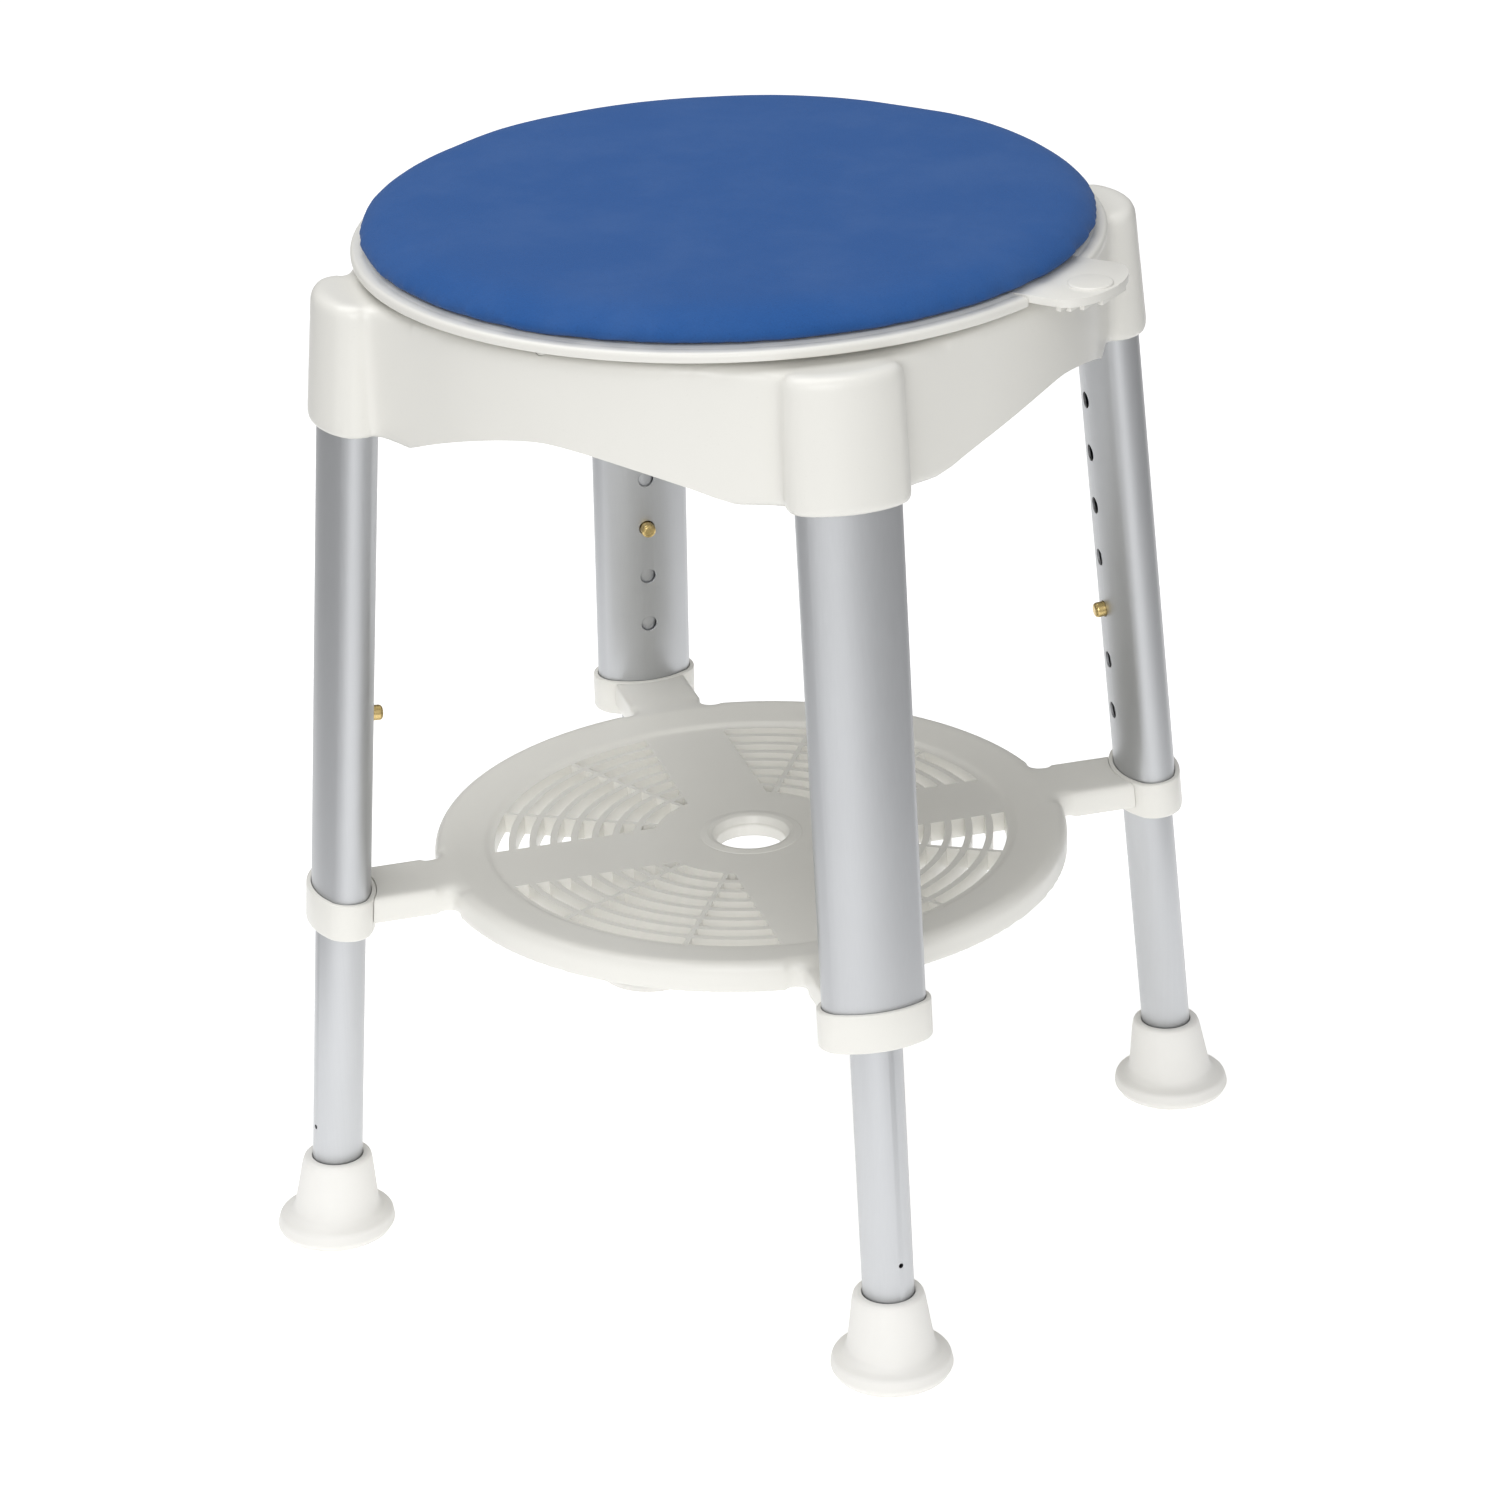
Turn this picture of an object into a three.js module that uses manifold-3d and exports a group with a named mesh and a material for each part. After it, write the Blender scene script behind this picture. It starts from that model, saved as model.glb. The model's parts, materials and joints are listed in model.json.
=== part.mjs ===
// Round shower stool: a padded seat that swivels on a moulded base and locks every 30 degrees,
// four leaning legs that telescope on spring buttons, and a drainage shelf between the legs.
//
// Millimetres, +Z up, the origin on the floor under the middle of the seat, the front towards -Y.
// Each leg has a frame of its own: X points outwards, Y runs round the stool, Z climbs the leg.

import * as THREE from "three";
import { mergeVertices } from "three/addons/utils/BufferGeometryUtils.js";
import Module from "manifold-3d";

const wasm = await Module();
wasm.setup();

// ---------------------------------------------------------------- driving dimensions

const FIT_GAP = 0.3; // left between two pieces that touch
const FLAT_OVERCUT = 5; // how far a cutter runs past the face it opens

// Overall sizes, which the others follow.
const BASE_RADIUS = 158;
const BASE_TOP = 445;
const LOWER_DIAMETER = 22.4;

// Stance. Heights named *_UP are measured along the leaning leg from the floor.
const FOOT_CIRCLE_RADIUS = BASE_RADIUS + 43.5;
const LEG_LEAN = THREE.MathUtils.degToRad(4.58);
const LEG_AZIMUTHS = { front_left: 225, front_right: 315, rear_right: 45, rear_left: 135 };

// Upper leg: an oval aluminium extrusion with two bowed faces and two round ends.
const OVAL_DEPTH = LOWER_DIAMETER + 3;
const OVAL_WIDTH = 1.764 * OVAL_DEPTH;
const OVAL_FACE_RADIUS = 1.417 * OVAL_DEPTH;
const OVAL_END_RADIUS = 0.378 * OVAL_DEPTH;
const UPPER_WALL = 1.2;
const UPPER_LEG_TOP_UP = BASE_TOP - 8.5;

// Lower leg: a round tube that slides inside the oval one.
const LOWER_WALL = 1.2;
const LOWER_LEG_START_UP = 7;
const LOWER_LEG_TOP_UP = 285;

// Snap buttons and the row of holes that they drop into.
const SNAP_PITCH = 25.4;
const SNAP_UP = 251.1;
const SNAP_HOLES_BELOW = 2;
const SNAP_HOLES_ABOVE = 4;
const BUTTON_DIAMETER = 6.9;
const BUTTON_CLEARANCE = 0.3;
const BUTTON_PROUD = 4.6;
const LEAF_THICKNESS = 0.8;
const LEAF_WIDTH = 7;
const LEAF_LENGTH = 44;
const DRAIN_HOLE_DIAMETER = 2.2;

// Rubber feet.
const FOOT_HEIGHT = 37;
const DRAIN_HOLE_UP = FOOT_HEIGHT + 19;
const FOOT_FLANGE_RADIUS = LOWER_DIAMETER / 2 + 15.2;
const FOOT_TOP_RADIUS = LOWER_DIAMETER / 2 + 4.4;
const FOOT_FLOOR_UP = 5;
const FOOT_WASHER_THICKNESS = 1.4;

// Collars that close the lower ends of the oval tubes.
const COLLAR_UP = 152.7;
const COLLAR_HEIGHT = 17.5;
const COLLAR_WALL = 2.3;
const COLLAR_FLOOR = 2;
const COLLAR_PLUG_HEIGHT = 12;

// Plugs inside the tubes.
const GUIDE_FLANGE_THICKNESS = 4;
const GUIDE_SPIGOT_LENGTH = 12;
const TOP_PLUG_LENGTH = 30;

// Shelf.
const SHELF_RADIUS = BASE_RADIUS - 15.6;
const SHELF_RIM_TOP = COLLAR_UP + 16.9;
const SHELF_BOTTOM = COLLAR_UP + 3;
const SHELF_WALL = 2.6;
const GRILLE_TOP = COLLAR_UP + 13.3;
const GRILLE_BOTTOM = COLLAR_UP + 4.8;
const GRILLE_RADIUS = SHELF_RADIUS - 26.9;
const SLOT_COUNT = 8;
const GRILLE_HUB_RADIUS = 40.7;
const SLAT_WIDTH = 2.65;
const SLOT_WIDTH = (GRILLE_RADIUS - GRILLE_HUB_RADIUS) / SLOT_COUNT - SLAT_WIDTH;
const GRILLE_RIB = 2.2;
const SPOKE_WIDTH = 38;
const SHELF_HOLE_RADIUS = 15.6;
const SHELF_LIP_RADIUS = 19.5;
const ARM_WIDTH = OVAL_WIDTH - 10.3;
const ARM_TOP = COLLAR_UP + 15.7;
const ARM_TONGUE_WIDTH = 12;
const ARM_TONGUE_DEPTH = 1.4;

// Base moulding under the seat.
const BASE_SHOULDER = 6;
const BASE_WALL = 3;
const BASE_LEDGE_INNER = BASE_RADIUS - 12;
const BASE_SKIRT_BOTTOM = BASE_TOP - 61.2;
const DECK_TOP = BASE_TOP - 6;
const ARCH_RISE = 22.5;
const ARCH_HALF_SPAN = BASE_RADIUS - 76.6;
const ARCH_POWER = 1.6;
const ARCH_STEPS = 5;
const GUSSET_SPREAD = THREE.MathUtils.degToRad(25); // from the leg to where the wall leaves the drum
const GUSSET_TOP = BASE_TOP - 2.5;
const HUB_RADIUS = 22;
const HUB_BOSS_HEIGHT = 2;
const HUB_BOSS_DROP = 10;
const RIB_WIDTH = 2.4;
const RIB_DEPTH = 10;
const DECK_RIBS = 8;
const SOCKET_BOTTOM_UP = BASE_TOP - 58.8;
const SOCKET_TOP_UP = BASE_TOP - 0.6;
const SOCKET_WALL = 3.6;
const SOCKET_ROUNDING = 5;

// Leg screws, through the inner wall of each socket into the plug.
const LEG_SCREW_UP = UPPER_LEG_TOP_UP - 16.5;
const LEG_SCREW_DIAMETER = 3.8;
const LEG_SCREW_HEAD_RADIUS = 3.7;
const LEG_SCREW_HEAD_HEIGHT = 2.2;
const LEG_SCREW_BITE = 9;

// Seat plate and pad.
const PLATE_RADIUS = BASE_RADIUS + 3.7;
const PLATE_RIM_BOTTOM = BASE_TOP + 1.5;
const PLATE_RIM_TOP = BASE_TOP + 5.8;
const PLATE_RIM_WALL = 3.1;
const WEB_BOTTOM = BASE_TOP + 4;
const WEB_TOP = BASE_TOP + 6.6;
const WEB_EDGE_RADIUS = PLATE_RADIUS - 7.7;
const PLATE_RIB_DEPTH = 4;
const PLATE_RIBS = 6;
const PLATE_RIB_RING_RADIUS = 62;
const PAD_RADIUS = PLATE_RADIUS - 3.8;
const PAD_WIDEST_HEIGHT = BASE_TOP + 11.5;
const PAD_TOP = BASE_TOP + 23;
const PAD_FLAT_RADIUS = PAD_RADIUS - 77.9;
const PAD_FOOT_RADIUS = PAD_RADIUS - 6.9;

// Pivot.
const BOLT_RADIUS = 4;
const BOLT_HEAD_RADIUS = BOLT_RADIUS + 3;
const BOLT_HEAD_HEIGHT = 2.2;
const BOLT_HEX_RADIUS = 2.9;
const BOLT_HEX_DEPTH = 1.4;
const BOLT_CLEARANCE = 0.4;
const BOLT_END_BELOW_NUT = 2.5;
const WASHER_RADIUS = BOLT_RADIUS + 5.5;
const WASHER_THICKNESS = 1.2;
const NUT_RADIUS = BOLT_RADIUS + 3.5;
const NUT_HEIGHT = 6;
const THRUST_WASHER_RADIUS = 20;
const THRUST_WASHER_THICKNESS = 2;
const RECESS_FLOOR = 3;
const RECESS_RADIUS = WASHER_RADIUS + 1.5;

// Glide pads that carry the edge of the seat.
const GLIDE_COUNT = 4;
const GLIDE_CIRCLE_RADIUS = BASE_RADIUS - 5.6;
const GLIDE_RADIUS = 3.4;
const GLIDE_POCKET_DEPTH = 1.6;

// Seat lock: a slider with a thumb disc, pulled outwards against a spring.
const LOCK_AZIMUTH = THREE.MathUtils.degToRad(-2);
const LOCK_POSITIONS = 12;
const LOCK_HALF_WIDTH = 26;
const LOCK_SHOULDER_X = PLATE_RADIUS + 10.8;
const LOCK_TIP_X = PLATE_RADIUS + 26.8;
const LOCK_BODY_X = PLATE_RADIUS - 25.7;
const LOCK_TAIL_X = PLATE_RADIUS - 46.7;
const LOCK_TAIL_HALF_WIDTH = 7.8;
const LOCK_SIDE_GAP = 0.5;
const LOCK_PLATE_THICKNESS = 2.2;
const LOCK_TAB_THICKNESS = 3.4;
const LOCK_TAB_X = PLATE_RADIUS - 4.7;
const LOCK_TRAVEL = 6;
const LOCK_DOG_OUTER = PLATE_RADIUS - 40.7;
const LOCK_DOG_THICKNESS = 3.6;
const LOCK_DOG_HALF_WIDTH = 3.8;
const LOCK_NOTCH_CLEARANCE = 0.5;
const LOCK_RING_INNER = LOCK_DOG_OUTER - 11;
const LOCK_RING_HEIGHT = 4.5;
const THUMB_DISC_RADIUS = 9.2;
const THUMB_DISC_X = LOCK_SHOULDER_X + 0.9;
const THUMB_DISC_Y = -2;
const THUMB_DISC_HEIGHT = 0.8;
const GRIP_RIB_X = LOCK_SHOULDER_X - 5;
const GRIP_RIB_PITCH = 5.8;
const GRIP_RIB_COUNT = 4;
const GRIP_RIB_WIDTH = 2.4;
const GRIP_RIB_DEPTH = 2;
const GUIDE_SCREW_Y = LOCK_HALF_WIDTH + 4.8;
const GUIDE_SCREW_X = Math.sqrt((BASE_LEDGE_INNER - 4) ** 2 - GUIDE_SCREW_Y ** 2);
const GUIDE_X = GUIDE_SCREW_X - 2.4;
const GUIDE_WIDTH = 8.2;
const GUIDE_HALF_LENGTH = LOCK_HALF_WIDTH + 8;
const GUIDE_THICKNESS = 2.8;
const GUIDE_LIP_DROP = 3.4;
const GUIDE_LIP_THICKNESS = 2;
const GUIDE_LIP_HALF_WIDTH = 6;
const GUIDE_SCREW_RADIUS = 1.4;
const GUIDE_SCREW_HEAD_RADIUS = 2.8;
const GUIDE_SCREW_HEAD_HEIGHT = 1.6;
const GUIDE_SCREW_BITE = 1.8;
const SPRING_RADIUS = 2.5;
const SPRING_WIRE_RADIUS = 0.45;
const SPRING_COILS = 6;

// Facets round a full turn.
const SEGMENTS_LARGE = 36;
const SEGMENTS_TUBE = 16;
const SEGMENTS_MEDIUM = 12;
const SEGMENTS_SMALL = 8;
const ARC_STEPS = 2;

// ---------------------------------------------------------------- finishes

const FINISH = {
  plastic: { color: 0xe8e7e1, roughness: 0.38, metalness: 0 },
  innerPlastic: { color: 0xd9d8d2, roughness: 0.5, metalness: 0 },
  nylon: { color: 0xf2f1ec, roughness: 0.45, metalness: 0 },
  foam: { color: 0x2b5ba6, roughness: 0.85, metalness: 0 },
  rubber: { color: 0xe6e5df, roughness: 0.6, metalness: 0 },
  aluminium: { color: 0xb7babd, roughness: 0.4, metalness: 0.9 },
  steel: { color: 0xa9abad, roughness: 0.35, metalness: 1 },
  springSteel: { color: 0x8f9193, roughness: 0.35, metalness: 1 },
  brass: { color: 0xc2a45a, roughness: 0.3, metalness: 1 },
};

// ---------------------------------------------------------------- solids

function withoutFlatTriangles(index) {
  const kept = [];
  for (let i = 0; i < index.length; i += 3) {
    const [a, b, c] = [index[i], index[i + 1], index[i + 2]];
    if (a !== b && b !== c && c !== a) kept.push(a, b, c);
  }
  return kept;
}

function signedVolume(position, index) {
  const corner = [new THREE.Vector3(), new THREE.Vector3(), new THREE.Vector3()];
  let total = 0;
  for (let i = 0; i < index.length; i += 3) {
    corner.forEach((point, k) => point.fromBufferAttribute(position, index[i + k]));
    total += corner[0].dot(corner[1].cross(corner[2]));
  }
  return total;
}

function solidOf(geometry) {
  const bare = geometry.clone();
  bare.deleteAttribute("normal");
  bare.deleteAttribute("uv");
  const merged = mergeVertices(bare, 1e-3);
  const triangles = withoutFlatTriangles(merged.index.array);
  if (signedVolume(merged.attributes.position, triangles) < 0) triangles.reverse();
  const vertProperties = Float32Array.from(merged.attributes.position.array);
  const triVerts = Uint32Array.from(triangles);
  return new wasm.Manifold(new wasm.Mesh({ numProp: 3, vertProperties, triVerts }));
}

function geometryOf(solid) {
  const mesh = solid.getMesh();
  const geometry = new THREE.BufferGeometry();
  geometry.setAttribute("position", new THREE.BufferAttribute(mesh.vertProperties, 3));
  geometry.setIndex(new THREE.BufferAttribute(mesh.triVerts, 1));
  geometry.computeVertexNormals();
  return geometry;
}

function joinAll(solids) {
  return solids.reduce((whole, next) => whole.add(next));
}

function cutAll(solid, cutters) {
  return cutters.reduce((whole, cutter) => whole.subtract(cutter), solid);
}

function box(low, high) {
  const size = high.map((value, axis) => value - low[axis]);
  const geometry = new THREE.BoxGeometry(...size);
  geometry.translate(...low.map((value, axis) => value + size[axis] / 2));
  return geometry;
}

function rod(radius, from, to, segments = SEGMENTS_SMALL) {
  const geometry = new THREE.CylinderGeometry(radius, radius, to - from, segments);
  geometry.rotateX(Math.PI / 2);
  geometry.translate(0, 0, (from + to) / 2);
  return geometry;
}

// A rod along X, the direction that screws and buttons point in.
function crossRod(radius, from, to, height, segments = SEGMENTS_SMALL) {
  const geometry = rod(radius, from, to, segments);
  geometry.rotateY(Math.PI / 2);
  geometry.translate(0, 0, height);
  return geometry;
}

// Spins an outline of [radius, height] pairs about Z. Outlines off the axis close on themselves.
function spun(outline, segments = SEGMENTS_LARGE) {
  const closed = outline[0][0] > 0 ? [...outline, outline[0]] : outline;
  const points = closed.map(([radius, height]) => new THREE.Vector2(radius, height));
  const geometry = new THREE.LatheGeometry(points, segments);
  geometry.rotateX(Math.PI / 2);
  return geometry;
}

function ring(inner, outer, bottom, top, segments = SEGMENTS_MEDIUM) {
  return spun([[inner, bottom], [outer, bottom], [outer, top], [inner, top]], segments);
}

function arcPoints(centreR, centreZ, radius, fromDegrees, toDegrees, steps = 3) {
  return Array.from({ length: steps + 1 }, (_, i) => {
    const angle = THREE.MathUtils.degToRad(fromDegrees + ((toDegrees - fromDegrees) * i) / steps);
    return [centreR + radius * Math.cos(angle), centreZ + radius * Math.sin(angle)];
  });
}

function extruded(shape, from, to, curveSegments = ARC_STEPS) {
  const geometry = new THREE.ExtrudeGeometry(shape, {
    depth: to - from,
    bevelEnabled: false,
    curveSegments,
  });
  geometry.translate(0, 0, from);
  return geometry;
}

// An extrusion whose two ends are rounded inwards, so that its sides keep the outline.
function pillow(shape, from, to, rounding) {
  const geometry = new THREE.ExtrudeGeometry(shape, {
    depth: to - from - 2 * rounding,
    bevelEnabled: true,
    bevelThickness: rounding,
    bevelSize: rounding,
    bevelOffset: -rounding,
    bevelSegments: 2,
    curveSegments: ARC_STEPS,
  });
  geometry.translate(0, 0, from + rounding);
  return geometry;
}

// ---------------------------------------------------------------- the oval section

// The oval, grown by an offset: bowed faces at both ends of X, round ends at both ends of Y.
function ovalPath(Path, offset) {
  const faceRadius = OVAL_FACE_RADIUS + offset;
  const endRadius = OVAL_END_RADIUS + offset;
  const faceCentre = OVAL_FACE_RADIUS - OVAL_DEPTH / 2;
  const endCentre = OVAL_WIDTH / 2 - OVAL_END_RADIUS;
  const gap = Math.hypot(faceCentre, endCentre);
  const towardsEnd = Math.atan2(endCentre, faceCentre);
  const cosine = (faceRadius ** 2 + gap ** 2 - endRadius ** 2) / (2 * faceRadius * gap);
  const faceAngle = towardsEnd + Math.acos(THREE.MathUtils.clamp(cosine, -1, 1));
  const meetX = faceRadius * Math.cos(faceAngle) - faceCentre;
  const meetY = faceRadius * Math.sin(faceAngle);
  const endAngle = Math.atan2(meetY - endCentre, meetX);
  const path = new Path();
  path.absarc(-faceCentre, 0, faceRadius, -faceAngle, faceAngle, false);
  path.absarc(0, endCentre, endRadius, endAngle, Math.PI - endAngle, false);
  path.absarc(faceCentre, 0, faceRadius, Math.PI - faceAngle, Math.PI + faceAngle, false);
  path.absarc(0, -endCentre, endRadius, Math.PI + endAngle, 2 * Math.PI - endAngle, false);
  return path;
}

function oval(offset) {
  return ovalPath(THREE.Shape, offset);
}

function ovalTube(outerOffset, innerOffset) {
  const shape = oval(outerOffset);
  shape.holes.push(ovalPath(THREE.Path, innerOffset));
  return shape;
}

// ---------------------------------------------------------------- frames

const LEG_NAMES = Object.keys(LEG_AZIMUTHS);
const LEAN_SLOPE = Math.tan(LEG_LEAN);

function legTurn(name) {
  return THREE.MathUtils.degToRad(LEG_AZIMUTHS[name]);
}

// Upright at the foot of a leg: X outwards, Z straight up.
function stanceMatrix(name) {
  const turn = new THREE.Matrix4().makeRotationZ(legTurn(name));
  return turn.multiply(new THREE.Matrix4().makeTranslation(FOOT_CIRCLE_RADIUS, 0, 0));
}

// Leaning with the leg: Z climbs along its axis.
function legMatrix(name) {
  return stanceMatrix(name).multiply(new THREE.Matrix4().makeRotationY(-LEG_LEAN));
}

function placed(geometry, matrix) {
  return geometry.clone().applyMatrix4(matrix);
}

function legRadiusAt(height) {
  return FOOT_CIRCLE_RADIUS - height * LEAN_SLOPE;
}

// ---------------------------------------------------------------- base moulding

const DECK_BOTTOM = DECK_TOP - BASE_WALL;
const HUB_TOP = DECK_TOP + HUB_BOSS_HEIGHT;
const HUB_BOTTOM = DECK_BOTTOM - HUB_BOSS_DROP;
const BOLT_HOLE_RADIUS = BOLT_RADIUS + BOLT_CLEARANCE;
const LOCK_RING_OUTER = LOCK_DOG_OUTER;
const GLIDE_POCKET_FLOOR = BASE_TOP - GLIDE_POCKET_DEPTH;

function baseDrum() {
  const shoulder = arcPoints(
    BASE_RADIUS - BASE_SHOULDER, BASE_TOP - BASE_SHOULDER, BASE_SHOULDER, 90, 0,
  );
  const innerRadius = BASE_RADIUS - BASE_WALL;
  const ledgeBottom = BASE_TOP - BASE_WALL;
  return solidOf(spun([
    [BOLT_HOLE_RADIUS, HUB_TOP],
    [HUB_RADIUS, HUB_TOP],
    [HUB_RADIUS, DECK_TOP],
    [LOCK_RING_INNER, DECK_TOP],
    [LOCK_RING_INNER, DECK_TOP + LOCK_RING_HEIGHT],
    [LOCK_RING_OUTER, DECK_TOP + LOCK_RING_HEIGHT],
    [LOCK_RING_OUTER, DECK_TOP],
    [BASE_LEDGE_INNER, DECK_TOP],
    [BASE_LEDGE_INNER, BASE_TOP],
    ...shoulder,
    [BASE_RADIUS, BASE_SKIRT_BOTTOM],
    [innerRadius, BASE_SKIRT_BOTTOM],
    [innerRadius, ledgeBottom - BASE_SHOULDER / 2],
    [innerRadius - BASE_SHOULDER / 2, ledgeBottom],
    [BASE_LEDGE_INNER + BASE_WALL, ledgeBottom],
    [BASE_LEDGE_INNER + BASE_WALL, DECK_BOTTOM],
    [HUB_RADIUS, DECK_BOTTOM],
    [HUB_RADIUS, HUB_BOTTOM],
    [BOLT_HOLE_RADIUS, HUB_BOTTOM],
  ]));
}

// Half of the arch falls away from the middle as a power of the distance.
function archHeight(across) {
  const share = Math.abs(across) / ARCH_HALF_SPAN;
  return BASE_SKIRT_BOTTOM + ARCH_RISE * (1 - share ** ARCH_POWER);
}

function archCutter(turn) {
  const shape = new THREE.Shape();
  const floor = BASE_SKIRT_BOTTOM - FLAT_OVERCUT;
  shape.moveTo(-ARCH_HALF_SPAN, floor);
  shape.lineTo(ARCH_HALF_SPAN, floor);
  for (let i = ARCH_STEPS; i >= -ARCH_STEPS; i -= 1) {
    const across = (ARCH_HALF_SPAN * i) / ARCH_STEPS;
    shape.lineTo(across, archHeight(across));
  }
  const geometry = extruded(shape, BASE_RADIUS / 2, BASE_RADIUS + FLAT_OVERCUT);
  geometry.rotateX(Math.PI / 2);
  geometry.rotateZ(turn);
  return solidOf(geometry);
}

function deckRib(turn) {
  const low = [HUB_RADIUS - 1, -RIB_WIDTH / 2, DECK_BOTTOM - RIB_DEPTH];
  const high = [BASE_RADIUS - BASE_WALL / 2, RIB_WIDTH / 2, DECK_BOTTOM + BASE_WALL / 2];
  const geometry = box(low, high);
  geometry.rotateZ(turn);
  return solidOf(geometry);
}

// The wall leaves the drum's circle along a tangent and runs straight into the socket.
function gusset(name) {
  const cornerX = BASE_RADIUS / Math.cos(GUSSET_SPREAD);
  const startX = BASE_RADIUS * Math.cos(GUSSET_SPREAD);
  const startY = BASE_RADIUS * Math.sin(GUSSET_SPREAD);
  const shape = new THREE.Shape();
  shape.moveTo(startX, -startY);
  shape.lineTo(cornerX, 0);
  shape.lineTo(startX, startY);
  shape.lineTo(startX - BASE_WALL, startY - BASE_WALL);
  shape.lineTo(startX - BASE_WALL, BASE_WALL - startY);
  const body = extruded(shape, BASE_SKIRT_BOTTOM, GUSSET_TOP);
  const inner = rod(BASE_RADIUS - BASE_WALL / 2, BASE_SKIRT_BOTTOM - 1, BASE_TOP, SEGMENTS_LARGE);
  body.rotateZ(legTurn(name));
  return solidOf(body).subtract(solidOf(inner));
}

function socketBody(name) {
  const geometry = pillow(oval(SOCKET_WALL), SOCKET_BOTTOM_UP, SOCKET_TOP_UP, SOCKET_ROUNDING);
  return solidOf(placed(geometry, legMatrix(name)));
}

function socketBore(name) {
  const bottom = SOCKET_BOTTOM_UP - FLAT_OVERCUT;
  const geometry = extruded(oval(FIT_GAP), bottom, UPPER_LEG_TOP_UP + FIT_GAP);
  return solidOf(placed(geometry, legMatrix(name)));
}

function legScrewHole(name) {
  const radius = LEG_SCREW_DIAMETER / 2 + FIT_GAP;
  const outside = -OVAL_DEPTH / 2 - SOCKET_WALL - FLAT_OVERCUT;
  const geometry = crossRod(radius, outside, -OVAL_DEPTH / 2 + 1, LEG_SCREW_UP);
  return solidOf(placed(geometry, legMatrix(name)));
}

function lockNotch(index) {
  const halfWidth = LOCK_DOG_HALF_WIDTH + LOCK_NOTCH_CLEARANCE;
  const inner = LOCK_DOG_OUTER - LOCK_DOG_THICKNESS - LOCK_NOTCH_CLEARANCE;
  const low = [inner, -halfWidth, DECK_TOP + FIT_GAP];
  const high = [LOCK_RING_OUTER + FLAT_OVERCUT, halfWidth, BASE_TOP];
  const geometry = box(low, high);
  geometry.rotateZ(LOCK_AZIMUTH + (2 * Math.PI * index) / LOCK_POSITIONS);
  return solidOf(geometry);
}

function glideTurn(index) {
  return (2 * Math.PI * index) / GLIDE_COUNT;
}

function glidePocket(index) {
  const radius = GLIDE_RADIUS + FIT_GAP;
  const geometry = rod(radius, GLIDE_POCKET_FLOOR - FIT_GAP, BASE_TOP + FLAT_OVERCUT, SEGMENTS_MEDIUM);
  geometry.translate(GLIDE_CIRCLE_RADIUS, 0, 0);
  geometry.rotateZ(glideTurn(index));
  return solidOf(geometry);
}

function baseFrame() {
  const sides = [0, 1, 2, 3].map((side) => archCutter((side * Math.PI) / 2));
  const drum = cutAll(joinAll([baseDrum(), ...LEG_NAMES.map(gusset)]), sides);
  const ribs = Array.from({ length: DECK_RIBS }, (_, i) => deckRib((2 * Math.PI * i) / DECK_RIBS));
  const whole = joinAll([drum, ...ribs, ...LEG_NAMES.map(socketBody)]);
  const notches = Array.from({ length: LOCK_POSITIONS }, (_, i) => lockNotch(i));
  const pockets = Array.from({ length: GLIDE_COUNT }, (_, i) => glidePocket(i));
  return geometryOf(cutAll(whole, [
    ...LEG_NAMES.map(socketBore),
    ...LEG_NAMES.map(legScrewHole),
    ...notches,
    ...pockets,
  ]));
}

// ---------------------------------------------------------------- pivot and glides

const THRUST_BOTTOM = HUB_TOP + FIT_GAP;
const THRUST_TOP = THRUST_BOTTOM + THRUST_WASHER_THICKNESS;
const SEAT_BOSS_BOTTOM = THRUST_TOP + FIT_GAP;
const RECESS_BOTTOM = SEAT_BOSS_BOTTOM + RECESS_FLOOR;
const HEAD_WASHER_BOTTOM = RECESS_BOTTOM + FIT_GAP;
const HEAD_BOTTOM = HEAD_WASHER_BOTTOM + WASHER_THICKNESS + FIT_GAP;
const HEAD_TOP = HEAD_BOTTOM + BOLT_HEAD_HEIGHT;
const LOWER_WASHER_TOP = HUB_BOTTOM - FIT_GAP;
const NUT_TOP = LOWER_WASHER_TOP - WASHER_THICKNESS - FIT_GAP;
const NUT_BOTTOM = NUT_TOP - NUT_HEIGHT;

function pivotBolt() {
  const body = spun([
    [0, HEAD_TOP],
    [BOLT_HEAD_RADIUS - 0.6, HEAD_TOP],
    [BOLT_HEAD_RADIUS, HEAD_TOP - 0.6],
    [BOLT_HEAD_RADIUS, HEAD_BOTTOM],
    [BOLT_RADIUS, HEAD_BOTTOM],
    [BOLT_RADIUS, NUT_BOTTOM - BOLT_END_BELOW_NUT + 1],
    [BOLT_RADIUS - 1, NUT_BOTTOM - BOLT_END_BELOW_NUT],
    [0, NUT_BOTTOM - BOLT_END_BELOW_NUT],
  ], SEGMENTS_MEDIUM);
  const hex = rod(BOLT_HEX_RADIUS, HEAD_TOP - BOLT_HEX_DEPTH, HEAD_TOP + FLAT_OVERCUT, 6);
  return geometryOf(solidOf(body).subtract(solidOf(hex)));
}

function washer(bottom) {
  return ring(BOLT_HOLE_RADIUS, WASHER_RADIUS, bottom, bottom + WASHER_THICKNESS);
}

function pivotNut() {
  const outer = solidOf(rod(NUT_RADIUS, NUT_BOTTOM, NUT_TOP, 6));
  const bore = rod(BOLT_RADIUS + FIT_GAP, NUT_BOTTOM - 1, NUT_TOP + 1, SEGMENTS_MEDIUM);
  return geometryOf(outer.subtract(solidOf(bore)));
}

function thrustWasher() {
  return ring(BOLT_HOLE_RADIUS, THRUST_WASHER_RADIUS, THRUST_BOTTOM, THRUST_TOP);
}

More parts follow.
